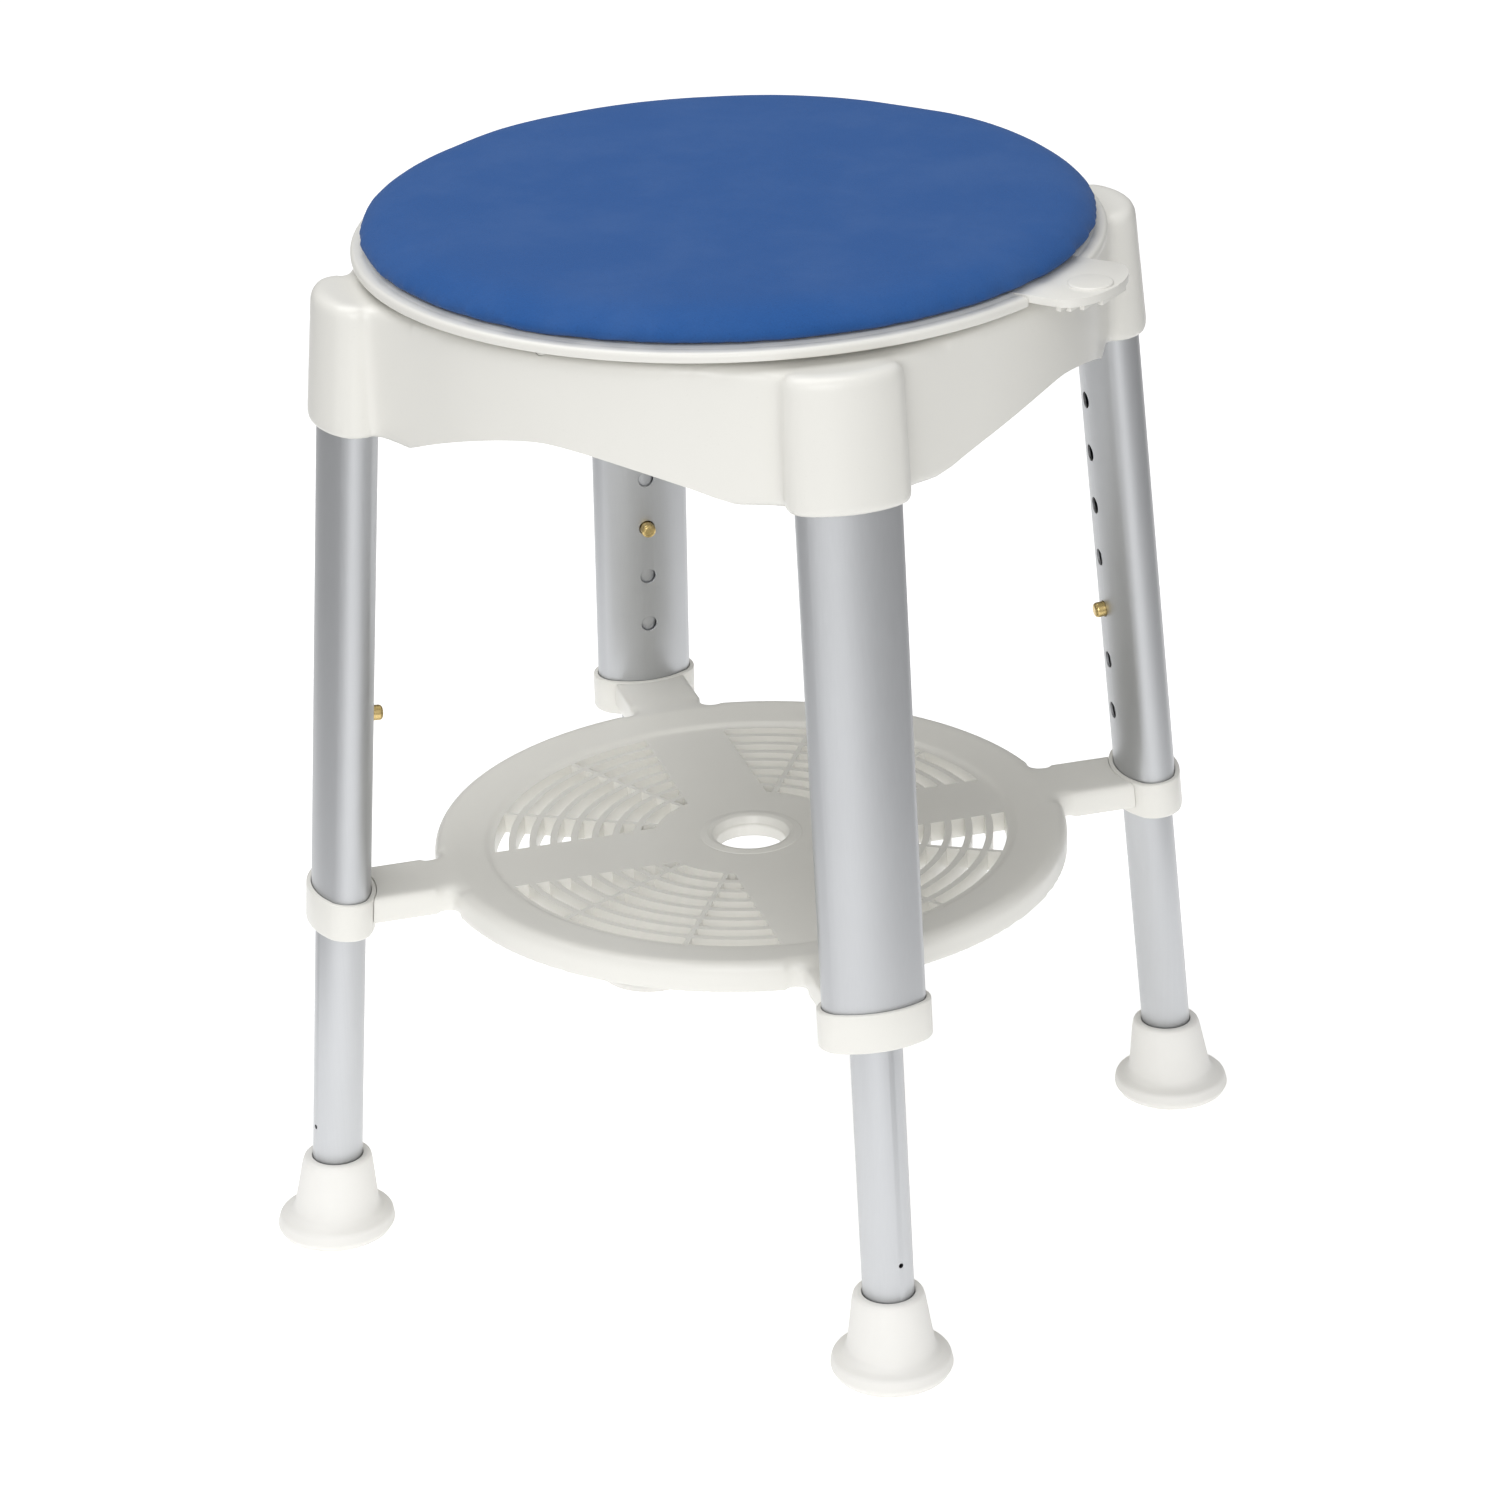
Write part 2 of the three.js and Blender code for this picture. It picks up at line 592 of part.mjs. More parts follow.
function glidePad() {
  const top = WEB_BOTTOM - FIT_GAP;
  return spun([
    [0, GLIDE_POCKET_FLOOR],
    [GLIDE_RADIUS, GLIDE_POCKET_FLOOR],
    [GLIDE_RADIUS, top - 0.6],
    [GLIDE_RADIUS - 0.6, top],
    [0, top],
  ], SEGMENTS_MEDIUM);
}

// ---------------------------------------------------------------- seat plate and pad

function lockSlotHalfWidth() {
  return LOCK_HALF_WIDTH + LOCK_SIDE_GAP;
}

function seatDisc() {
  const rimInner = PLATE_RADIUS - PLATE_RIM_WALL;
  return solidOf(spun([
    [BOLT_HOLE_RADIUS, SEAT_BOSS_BOTTOM],
    [HUB_RADIUS, SEAT_BOSS_BOTTOM],
    [HUB_RADIUS, WEB_BOTTOM],
    [rimInner, WEB_BOTTOM],
    [rimInner, PLATE_RIM_BOTTOM],
    [PLATE_RADIUS - 0.7, PLATE_RIM_BOTTOM],
    [PLATE_RADIUS, PLATE_RIM_BOTTOM + 0.7],
    [PLATE_RADIUS, PLATE_RIM_TOP - 1.6],
    [PLATE_RADIUS - 1.6, PLATE_RIM_TOP],
    [WEB_EDGE_RADIUS + 2, PLATE_RIM_TOP],
    [WEB_EDGE_RADIUS, WEB_TOP],
    [RECESS_RADIUS, WEB_TOP],
    [RECESS_RADIUS, RECESS_BOTTOM],
    [BOLT_HOLE_RADIUS, RECESS_BOTTOM],
  ]));
}

function plateRib(index) {
  const low = [HUB_RADIUS - 1, -RIB_WIDTH / 2, WEB_BOTTOM - PLATE_RIB_DEPTH];
  const high = [LOCK_RING_INNER - FLAT_OVERCUT, RIB_WIDTH / 2, WEB_BOTTOM + 1];
  const geometry = box(low, high);
  geometry.rotateZ(LOCK_AZIMUTH + (2 * Math.PI * (index + 0.5)) / PLATE_RIBS);
  return solidOf(geometry);
}

function plateRibRing() {
  const inner = PLATE_RIB_RING_RADIUS - RIB_WIDTH / 2;
  const outer = PLATE_RIB_RING_RADIUS + RIB_WIDTH / 2;
  const bottom = WEB_BOTTOM - PLATE_RIB_DEPTH;
  return solidOf(ring(inner, outer, bottom, WEB_BOTTOM + 1, SEGMENTS_LARGE / 2));
}

// The slot that the lock slider moves in, open at the rim.
function lockSlot() {
  const wide = lockSlotHalfWidth();
  const narrow = LOCK_TAIL_HALF_WIDTH + LOCK_SIDE_GAP;
  const bottom = PLATE_RIM_BOTTOM - FLAT_OVERCUT;
  const top = WEB_TOP + FLAT_OVERCUT;
  const innerX = LOCK_TAIL_X - LOCK_SIDE_GAP;
  const stepX = LOCK_BODY_X - LOCK_SIDE_GAP;
  const tail = box([innerX, -narrow, bottom], [stepX + 1, narrow, top]);
  const body = box([stepX, -wide, bottom], [PLATE_RADIUS + FLAT_OVERCUT, wide, top]);
  return solidOf(tail).add(solidOf(body));
}

function guideScrewHole(side) {
  const radius = GUIDE_SCREW_RADIUS + FIT_GAP;
  const geometry = rod(radius, WEB_BOTTOM - 1, WEB_BOTTOM + GUIDE_SCREW_BITE + FIT_GAP);
  geometry.translate(GUIDE_SCREW_X, side * GUIDE_SCREW_Y, 0);
  return solidOf(geometry);
}

function seatPlate() {
  const ribs = Array.from({ length: PLATE_RIBS }, (_, i) => plateRib(i));
  const whole = joinAll([seatDisc(), plateRibRing(), ...ribs]);
  const turned = geometryOf(whole);
  turned.rotateZ(-LOCK_AZIMUTH);
  const cut = cutAll(solidOf(turned), [lockSlot(), guideScrewHole(1), guideScrewHole(-1)]);
  return geometryOf(cut);
}

function seatPad() {
  const bottom = WEB_TOP + FIT_GAP;
  return spun([
    [0, bottom],
    [PAD_FOOT_RADIUS, bottom],
    [PAD_RADIUS - 2.2, bottom + 1.6],
    [PAD_RADIUS, PAD_WIDEST_HEIGHT],
    [PAD_RADIUS - 1.2, PAD_WIDEST_HEIGHT + 4],
    [PAD_RADIUS - 5, PAD_WIDEST_HEIGHT + 7.4],
    [PAD_RADIUS - 12, PAD_WIDEST_HEIGHT + 9.6],
    [PAD_RADIUS - 40, PAD_TOP - 0.6],
    [PAD_FLAT_RADIUS, PAD_TOP],
    [0, PAD_TOP],
  ]);
}

// ---------------------------------------------------------------- seat lock

const SLIDER_TOP = WEB_TOP;
const SLIDER_BOTTOM = SLIDER_TOP - LOCK_PLATE_THICKNESS;
const GUIDE_TOP = WEB_BOTTOM - FIT_GAP;
const GUIDE_BOTTOM = GUIDE_TOP - GUIDE_THICKNESS;

function sliderOutline() {
  const shape = new THREE.Shape();
  shape.moveTo(LOCK_TAIL_X, -LOCK_TAIL_HALF_WIDTH);
  shape.lineTo(LOCK_BODY_X, -LOCK_TAIL_HALF_WIDTH);
  shape.lineTo(LOCK_BODY_X, -LOCK_HALF_WIDTH);
  shape.lineTo(LOCK_SHOULDER_X, -LOCK_HALF_WIDTH);
  const reach = LOCK_TIP_X - LOCK_SHOULDER_X;
  shape.absellipse(LOCK_SHOULDER_X, 0, reach, LOCK_HALF_WIDTH, -Math.PI / 2, Math.PI / 2, false, 0);
  shape.lineTo(LOCK_BODY_X, LOCK_HALF_WIDTH);
  shape.lineTo(LOCK_BODY_X, LOCK_TAIL_HALF_WIDTH);
  shape.lineTo(LOCK_TAIL_X, LOCK_TAIL_HALF_WIDTH);
  return shape;
}

function tabOutline() {
  const shape = new THREE.Shape();
  const reach = LOCK_TIP_X - LOCK_SHOULDER_X;
  shape.moveTo(LOCK_TAB_X, -LOCK_HALF_WIDTH);
  shape.lineTo(LOCK_SHOULDER_X, -LOCK_HALF_WIDTH);
  shape.absellipse(LOCK_SHOULDER_X, 0, reach, LOCK_HALF_WIDTH, -Math.PI / 2, Math.PI / 2, false, 0);
  shape.lineTo(LOCK_TAB_X, LOCK_HALF_WIDTH);
  return shape;
}

// Half the length of a rib across the tab, which follows the rounded end.
function gripHalfLength(x) {
  const reach = LOCK_TIP_X - LOCK_SHOULDER_X;
  const share = Math.max(0, x + GRIP_RIB_WIDTH - LOCK_SHOULDER_X) / reach;
  return (LOCK_HALF_WIDTH - 1) * Math.sqrt(1 - Math.min(share, 0.95) ** 2);
}

function gripRib(index) {
  const x = GRIP_RIB_X + index * GRIP_RIB_PITCH;
  const half = gripHalfLength(x);
  const top = SLIDER_TOP - LOCK_TAB_THICKNESS;
  return solidOf(box([x, -half, top - GRIP_RIB_DEPTH], [x + GRIP_RIB_WIDTH, half, top + 1]));
}

function lockSlider() {
  const plate = solidOf(extruded(sliderOutline(), SLIDER_BOTTOM, SLIDER_TOP, 2 * ARC_STEPS));
  const tab = solidOf(extruded(tabOutline(), SLIDER_TOP - LOCK_TAB_THICKNESS, SLIDER_TOP, 2 * ARC_STEPS));
  const dog = solidOf(box(
    [LOCK_DOG_OUTER - LOCK_DOG_THICKNESS, -LOCK_DOG_HALF_WIDTH, DECK_TOP + 2 * FIT_GAP],
    [LOCK_DOG_OUTER, LOCK_DOG_HALF_WIDTH, SLIDER_BOTTOM + 1],
  ));
  const disc = rod(THUMB_DISC_RADIUS, SLIDER_TOP - 1, SLIDER_TOP + THUMB_DISC_HEIGHT, SEGMENTS_MEDIUM);
  disc.translate(THUMB_DISC_X, THUMB_DISC_Y, 0);
  const ribs = Array.from({ length: GRIP_RIB_COUNT }, (_, i) => gripRib(i));
  return geometryOf(joinAll([plate, tab, dog, solidOf(disc), ...ribs]));
}

function lockGuide() {
  const strap = solidOf(box(
    [GUIDE_X, -GUIDE_HALF_LENGTH, GUIDE_BOTTOM],
    [GUIDE_X + GUIDE_WIDTH, GUIDE_HALF_LENGTH, GUIDE_TOP],
  ));
  const lip = solidOf(box(
    [GUIDE_X, -GUIDE_LIP_HALF_WIDTH, GUIDE_BOTTOM - GUIDE_LIP_DROP],
    [GUIDE_X + GUIDE_LIP_THICKNESS, GUIDE_LIP_HALF_WIDTH, GUIDE_BOTTOM + 1],
  ));
  const holes = [1, -1].map((side) => {
    const hole = rod(GUIDE_SCREW_RADIUS + FIT_GAP, GUIDE_BOTTOM - 1, GUIDE_TOP + 1);
    hole.translate(GUIDE_SCREW_X, side * GUIDE_SCREW_Y, 0);
    return solidOf(hole);
  });
  return geometryOf(cutAll(strap.add(lip), holes));
}

function guideScrew() {
  const headTop = GUIDE_BOTTOM - FIT_GAP;
  return spun([
    [0, headTop - GUIDE_SCREW_HEAD_HEIGHT],
    [GUIDE_SCREW_HEAD_RADIUS - 0.6, headTop - GUIDE_SCREW_HEAD_HEIGHT],
    [GUIDE_SCREW_HEAD_RADIUS, headTop - 0.6],
    [GUIDE_SCREW_HEAD_RADIUS, headTop],
    [GUIDE_SCREW_RADIUS, headTop],
    [GUIDE_SCREW_RADIUS, WEB_BOTTOM + GUIDE_SCREW_BITE],
    [0, WEB_BOTTOM + GUIDE_SCREW_BITE],
  ], SEGMENTS_SMALL);
}

// A helix round the X axis, between the slider's dog and the guide's lip.
class SpringCurve extends THREE.Curve {
  getPoint(share, target = new THREE.Vector3()) {
    const start = LOCK_DOG_OUTER + FIT_GAP + SPRING_WIRE_RADIUS;
    const end = GUIDE_X - FIT_GAP - SPRING_WIRE_RADIUS;
    const angle = 2 * Math.PI * SPRING_COILS * share;
    const height = GUIDE_BOTTOM - GUIDE_LIP_DROP + SPRING_RADIUS + SPRING_WIRE_RADIUS;
    return target.set(
      start + (end - start) * share,
      SPRING_RADIUS * Math.cos(angle),
      height + SPRING_RADIUS * Math.sin(angle),
    );
  }
}

function lockSpring() {
  const section = new THREE.Shape();
  section.absarc(0, 0, SPRING_WIRE_RADIUS, 0, 2 * Math.PI, false);
  return new THREE.ExtrudeGeometry(section, {
    steps: SPRING_COILS * SEGMENTS_SMALL,
    extrudePath: new SpringCurve(),
    curveSegments: ARC_STEPS,
  });
}

// ---------------------------------------------------------------- legs

function upperLeg() {
  const bottom = COLLAR_UP + COLLAR_FLOOR + FIT_GAP;
  const tube = solidOf(extruded(ovalTube(0, -UPPER_WALL), bottom, UPPER_LEG_TOP_UP));
  const holes = [];
  for (let step = -SNAP_HOLES_BELOW; step <= SNAP_HOLES_ABOVE; step += 1) {
    holes.push(innerFaceHole(BUTTON_DIAMETER / 2 + BUTTON_CLEARANCE, SNAP_UP + step * SNAP_PITCH));
  }
  holes.push(innerFaceHole(LEG_SCREW_DIAMETER / 2 + FIT_GAP, LEG_SCREW_UP));
  return geometryOf(cutAll(tube, holes));
}

// Pierces only the face that looks towards the middle of the stool.
function innerFaceHole(radius, height) {
  return solidOf(crossRod(radius, -OVAL_DEPTH / 2 - FLAT_OVERCUT, -LOWER_DIAMETER / 4, height));
}

function upperLegPlug() {
  const bottom = UPPER_LEG_TOP_UP - TOP_PLUG_LENGTH;
  const body = extruded(oval(-UPPER_WALL - FIT_GAP), bottom, UPPER_LEG_TOP_UP);
  const reach = -OVAL_DEPTH / 2 + UPPER_WALL + LEG_SCREW_BITE;
  const hole = innerFaceHoleTo(LEG_SCREW_DIAMETER / 2 + FIT_GAP, reach + FIT_GAP, LEG_SCREW_UP);
  return geometryOf(solidOf(body).subtract(hole));
}

function innerFaceHoleTo(radius, end, height) {
  return solidOf(crossRod(radius, -OVAL_DEPTH / 2 - FLAT_OVERCUT, end, height));
}

function legScrew() {
  const seat = -OVAL_DEPTH / 2 - SOCKET_WALL - FIT_GAP;
  const end = -OVAL_DEPTH / 2 + UPPER_WALL + LEG_SCREW_BITE;
  const radius = LEG_SCREW_DIAMETER / 2;
  const geometry = spun([
    [0, seat - LEG_SCREW_HEAD_HEIGHT],
    [LEG_SCREW_HEAD_RADIUS - 0.9, seat - LEG_SCREW_HEAD_HEIGHT],
    [LEG_SCREW_HEAD_RADIUS, seat - 0.9],
    [LEG_SCREW_HEAD_RADIUS, seat],
    [radius, seat],
    [radius, end - 1.5],
    [0, end],
  ], SEGMENTS_SMALL);
  geometry.rotateY(Math.PI / 2);
  geometry.translate(0, 0, LEG_SCREW_UP);
  return geometry;
}

// The collar wraps the end of the oval tube, floors it, and fills its two side lobes.
function collar() {
  const top = COLLAR_UP + COLLAR_HEIGHT;
  const body = solidOf(extruded(oval(COLLAR_WALL), COLLAR_UP, top));
  const tubeSpace = solidOf(extruded(oval(FIT_GAP), COLLAR_UP + COLLAR_FLOOR, top + FLAT_OVERCUT));
  const plugTop = COLLAR_UP + COLLAR_FLOOR + COLLAR_PLUG_HEIGHT;
  const plug = solidOf(extruded(oval(-UPPER_WALL - FIT_GAP), COLLAR_UP + 1, plugTop));
  const boreRadius = LOWER_DIAMETER / 2 + FIT_GAP;
  const bore = solidOf(rod(boreRadius, COLLAR_UP - 1, plugTop + 1, SEGMENTS_TUBE));
  const pocket = armTongue(FIT_GAP);
  return geometryOf(body.subtract(tubeSpace).add(plug).subtract(bore).subtract(pocket));
}

// The tongue on the end of a shelf arm, in the leg's own frame.
function armTongue(gap) {
  const outside = -OVAL_DEPTH / 2 - COLLAR_WALL;
  const middle = COLLAR_UP + COLLAR_HEIGHT / 2;
  const halfWidth = ARM_TONGUE_WIDTH / 2 + gap;
  const halfHeight = COLLAR_HEIGHT / 5 + gap;
  return solidOf(box(
    [outside - 4, -halfWidth, middle - halfHeight],
    [outside + ARM_TONGUE_DEPTH - FIT_GAP + gap, halfWidth, middle + halfHeight],
  ));
}

function lowerLeg() {
  const shape = new THREE.Shape();
  shape.absarc(0, 0, LOWER_DIAMETER / 2, 0, 2 * Math.PI, false);
  const bore = new THREE.Path();
  bore.absarc(0, 0, LOWER_DIAMETER / 2 - LOWER_WALL, 0, 2 * Math.PI, false);
  shape.holes.push(bore);
  const halfTurns = SEGMENTS_TUBE / 2;
  const tube = solidOf(extruded(shape, LOWER_LEG_START_UP, LOWER_LEG_TOP_UP, halfTurns));
  const drain = crossRod(DRAIN_HOLE_DIAMETER / 2, 0, LOWER_DIAMETER, DRAIN_HOLE_UP);
  return geometryOf(cutAll(tube, [
    innerFaceHole(BUTTON_DIAMETER / 2 + BUTTON_CLEARANCE, SNAP_UP),
    solidOf(drain),
  ]));
}

// A plug in the top of the round tube whose flange keeps it central in the oval one.
function lowerLegGuide() {
  const seat = LOWER_LEG_TOP_UP + FIT_GAP;
  const flange = extruded(oval(-UPPER_WALL - FIT_GAP), seat, seat + GUIDE_FLANGE_THICKNESS);
  const spigotRadius = LOWER_DIAMETER / 2 - LOWER_WALL - FIT_GAP;
  const spigot = rod(spigotRadius, LOWER_LEG_TOP_UP - GUIDE_SPIGOT_LENGTH, seat + 1, SEGMENTS_TUBE);
  return geometryOf(solidOf(flange).add(solidOf(spigot)));
}

const LEAF_INNER_X = LOWER_WALL + 1.1 - LOWER_DIAMETER / 2;

function snapButton() {
  const radius = BUTTON_DIAMETER / 2;
  const base = LEAF_INNER_X - FIT_GAP;
  const tip = -OVAL_DEPTH / 2 - BUTTON_PROUD;
  const dome = arcPoints(0, 0, 1, 0, 90).map(([across, along]) => [across * radius, along * radius]);
  const geometry = spun([
    [0, 0],
    [radius, 0],
    ...dome.slice(0, -1).map(([across, along]) => [across, base - tip - radius + along]),
    [0, base - tip],
  ], SEGMENTS_MEDIUM);
  geometry.rotateY(-Math.PI / 2);
  geometry.translate(base, 0, SNAP_UP);
  return geometry;
}

// A hairpin of strip steel: one blade carries the button, the other presses on the far wall.
function snapSpring() {
  const shape = new THREE.Shape();
  const outer = -LEAF_INNER_X;
  const bend = SNAP_UP - LEAF_LENGTH + outer;
  const top = SNAP_UP + LEAF_WIDTH;
  shape.moveTo(LEAF_INNER_X, top);
  shape.lineTo(LEAF_INNER_X, bend);
  shape.absarc(0, bend, outer, Math.PI, 2 * Math.PI, false);
  shape.lineTo(outer, top - LEAF_LENGTH / 3);
  shape.lineTo(outer - LEAF_THICKNESS, top - LEAF_LENGTH / 3);
  shape.lineTo(outer - LEAF_THICKNESS, bend);
  shape.absarc(0, bend, outer - LEAF_THICKNESS, 2 * Math.PI, Math.PI, true);
  shape.lineTo(LEAF_INNER_X + LEAF_THICKNESS, top);
  const geometry = extruded(shape, -LEAF_WIDTH / 2, LEAF_WIDTH / 2);
  geometry.rotateX(Math.PI / 2);
  return geometry;
}

// The foot stands flat on the floor while its cup leans with the tube.
function rubberFoot(name) {
  const body = spun([
    [0, 0],
    [FOOT_FLANGE_RADIUS - 2, 0],
    [FOOT_FLANGE_RADIUS - 0.4, 1.6],
    [FOOT_FLANGE_RADIUS, 4],
    [FOOT_FLANGE_RADIUS - 0.8, 6.6],
    [FOOT_FLANGE_RADIUS - 3, 8],
    [FOOT_TOP_RADIUS + 4.6, 10],
    [FOOT_TOP_RADIUS + 2.8, 13.4],
    [FOOT_TOP_RADIUS, FOOT_HEIGHT - 3.4],
    [FOOT_TOP_RADIUS - 0.9, FOOT_HEIGHT - 0.9],
    [FOOT_TOP_RADIUS - 2.6, FOOT_HEIGHT],
    [0, FOOT_HEIGHT],
  ], SEGMENTS_TUBE);
  leanWithLeg(body);
  const bore = rod(LOWER_DIAMETER / 2 + FIT_GAP, FOOT_FLOOR_UP, FOOT_HEIGHT + FLAT_OVERCUT, SEGMENTS_TUBE);
  const cup = solidOf(placed(body, stanceMatrix(name)));
  return geometryOf(cup.subtract(solidOf(placed(bore, legMatrix(name)))));
}

function leanWithLeg(geometry) {
  const position = geometry.attributes.position;
  for (let i = 0; i < position.count; i += 1) {
    position.setX(i, position.getX(i) - position.getZ(i) * LEAN_SLOPE);
  }
}

function footWasher() {
  const bottom = FOOT_FLOOR_UP + FIT_GAP;
  return ring(BOLT_RADIUS, LOWER_DIAMETER / 2, bottom, bottom + FOOT_WASHER_THICKNESS);
}

// ---------------------------------------------------------------- shelf

const SLOT_PITCH = SLOT_WIDTH + SLAT_WIDTH;
const SHELF_HUB_RADIUS = GRILLE_RADIUS - SLOT_COUNT * SLOT_PITCH + SLAT_WIDTH;

function shelfDisc() {
  const rimInner = GRILLE_RADIUS + SLAT_WIDTH;
  const edge = arcPoints(SHELF_RADIUS - 4, SHELF_RIM_TOP - 4, 4, 0, 90);
  return solidOf(spun([
    [SHELF_RADIUS, SHELF_BOTTOM],
    ...edge,
    [rimInner + 1.5, GRILLE_TOP + 1.2],
    [rimInner, GRILLE_TOP],
    [SHELF_LIP_RADIUS + 5, GRILLE_TOP],
    [SHELF_LIP_RADIUS + 1.4, GRILLE_TOP + 2],
    [SHELF_LIP_RADIUS - 0.6, GRILLE_TOP + 1.6],
    [SHELF_HOLE_RADIUS + 0.6, GRILLE_TOP - 5],
    [SHELF_HOLE_RADIUS, SHELF_BOTTOM],
    [SHELF_HOLE_RADIUS + SHELF_WALL, SHELF_BOTTOM],
    [SHELF_HOLE_RADIUS + 1.3 * SHELF_WALL, GRILLE_TOP - SHELF_WALL],
    [SHELF_HUB_RADIUS - SHELF_WALL, GRILLE_TOP - SHELF_WALL],
    [SHELF_HUB_RADIUS - SHELF_WALL, GRILLE_BOTTOM],
    [rimInner, GRILLE_BOTTOM],
    [rimInner, GRILLE_TOP - SHELF_WALL],
    [SHELF_RADIUS - SHELF_WALL, SHELF_RIM_TOP - SHELF_WALL - 1],
    [SHELF_RADIUS - SHELF_WALL, SHELF_BOTTOM],
  ]));
}

// A slot between two bars that start at the given turns from the slot row's own X axis.
function slotShape(outer, fromEdge, toEdge) {
  const inner = outer - SLOT_WIDTH;
  const angleAt = ([turn, halfWidth], radius, sign) => turn + sign * Math.asin(halfWidth / radius);
  const shape = new THREE.Shape();
  const outerFrom = angleAt(fromEdge, outer, 1);
  const outerTo = angleAt(toEdge, outer, -1);
  const innerFrom = angleAt(fromEdge, inner, 1);
  const innerTo = angleAt(toEdge, inner, -1);
  shape.absarc(0, 0, outer, outerFrom, outerTo, false);
  shape.absarc(0, 0, inner, innerTo, innerFrom, true);
  return shape;
}

// Twelve radial bars: a wide spoke towards each leg and two thin ribs between spokes.
function grilleBars() {
  const bars = [];
  for (let i = 0; i < 12; i += 1) {
    const turn = Math.PI / 4 + (i * Math.PI) / 6;
    bars.push([turn, i % 3 === 0 ? SPOKE_WIDTH / 2 : GRILLE_RIB / 2]);
  }
  return bars;
}

function grilleSlots() {
  const bars = grilleBars();
  const slots = [];
  for (let row = 0; row < SLOT_COUNT; row += 1) {
    const outer = GRILLE_RADIUS - row * SLOT_PITCH;
    bars.forEach((bar, i) => {
      const next = bars[(i + 1) % bars.length];
      const nextTurn = i + 1 < bars.length ? next[0] : next[0] + 2 * Math.PI;
      const shape = slotShape(outer, bar, [nextTurn, next[1]]);
      slots.push(solidOf(extruded(shape, GRILLE_BOTTOM - 1, GRILLE_TOP + 1, 1)));
    });
  }
  return slots;
}

// The hollow under a spoke, which keeps the moulding at an even wall.
function spokePocket(name) {
  const half = SPOKE_WIDTH / 2 - SHELF_WALL;
  const low = [SHELF_HUB_RADIUS + SHELF_WALL, -half, GRILLE_BOTTOM - 1];
  const high = [GRILLE_RADIUS - SHELF_WALL, half, GRILLE_TOP - SHELF_WALL];
  const geometry = box(low, high);
  geometry.rotateZ(legTurn(name));
  return solidOf(geometry);
}

function shelfArm(name) {
  const reach = legRadiusAt(SHELF_RIM_TOP);
  const low = [SHELF_RADIUS - 2 * SHELF_WALL, -ARM_WIDTH / 2, SHELF_BOTTOM];
  const high = [reach, ARM_WIDTH / 2, ARM_TOP];
  const geometry = box(low, high);
  geometry.rotateZ(legTurn(name));
  return solidOf(geometry);
}

function armPocket(name) {
  const reach = legRadiusAt(SHELF_BOTTOM) - OVAL_DEPTH / 2 - COLLAR_WALL - 2 * SHELF_WALL;
  const half = ARM_WIDTH / 2 - SHELF_WALL;
  const low = [SHELF_RADIUS - SHELF_WALL - 0.5, -half, SHELF_BOTTOM - 1];
  const high = [reach, half, ARM_TOP - SHELF_WALL];
  const geometry = box(low, high);
  geometry.rotateZ(legTurn(name));
  return solidOf(geometry);
}

function collarSpace(name) {
  const bottom = COLLAR_UP - FLAT_OVERCUT;
  const top = COLLAR_UP + COLLAR_HEIGHT + FLAT_OVERCUT;
  const geometry = extruded(oval(COLLAR_WALL + FIT_GAP), bottom, top);
  return solidOf(placed(geometry, legMatrix(name)));
}

function armTongueOf(name) {
  const geometry = geometryOf(armTongue(0));
  return solidOf(placed(geometry, legMatrix(name)));
}

function shelf() {
  const disc = cutAll(shelfDisc(), grilleSlots());
  const arms = LEG_NAMES.map((name) => shelfArm(name).subtract(collarSpace(name)));
  const whole = joinAll([disc, ...arms, ...LEG_NAMES.map(armTongueOf)]);
  const pockets = [...LEG_NAMES.map(spokePocket), ...LEG_NAMES.map(armPocket)];
  return geometryOf(cutAll(whole, pockets));
}

// ---------------------------------------------------------------- assembly

function part(name, geometry, finish) {
  const piece = new THREE.Mesh(geometry, new THREE.MeshStandardMaterial(finish));
  piece.name = name;
  return piece;
}

const stool = new THREE.Group();

stool.add(part("base_frame", baseFrame(), FINISH.plastic));
stool.add(part("pivot_bolt", pivotBolt(), FINISH.steel));
stool.add(part("pivot_head_washer", washer(HEAD_WASHER_BOTTOM), FINISH.steel));
stool.add(part("pivot_nut_washer", washer(LOWER_WASHER_TOP - WASHER_THICKNESS), FINISH.steel));
stool.add(part("pivot_nut", pivotNut(), FINISH.steel));
stool.add(part("thrust_washer", thrustWasher(), FINISH.nylon));
stool.add(part("shelf", shelf(), FINISH.plastic));
stool.add(part("seat_pad", seatPad(), FINISH.foam));

for (let i = 0; i < GLIDE_COUNT; i += 1) {
  const seat = new THREE.Group();
  seat.rotation.z = glideTurn(i);
  const glide = part(`glide_pad_${i + 1}`, glidePad(), FINISH.nylon);
  glide.position.x = GLIDE_CIRCLE_RADIUS;
  seat.add(glide);
  stool.add(seat);
}

const lockSide = new THREE.Group();
lockSide.rotation.z = LOCK_AZIMUTH;
lockSide.add(part("seat_plate", seatPlate(), FINISH.plastic));
lockSide.add(part("lock_slider", lockSlider(), FINISH.plastic));
lockSide.add(part("lock_guide", lockGuide(), FINISH.innerPlastic));
lockSide.add(part("lock_spring", lockSpring(), FINISH.springSteel));
for (const [name, side] of [["lock_guide_screw_front", -1], ["lock_guide_screw_rear", 1]]) {
  const screw = part(name, guideScrew(), FINISH.steel);
  screw.position.set(GUIDE_SCREW_X, side * GUIDE_SCREW_Y, 0);
  lockSide.add(screw);
}
stool.add(lockSide);

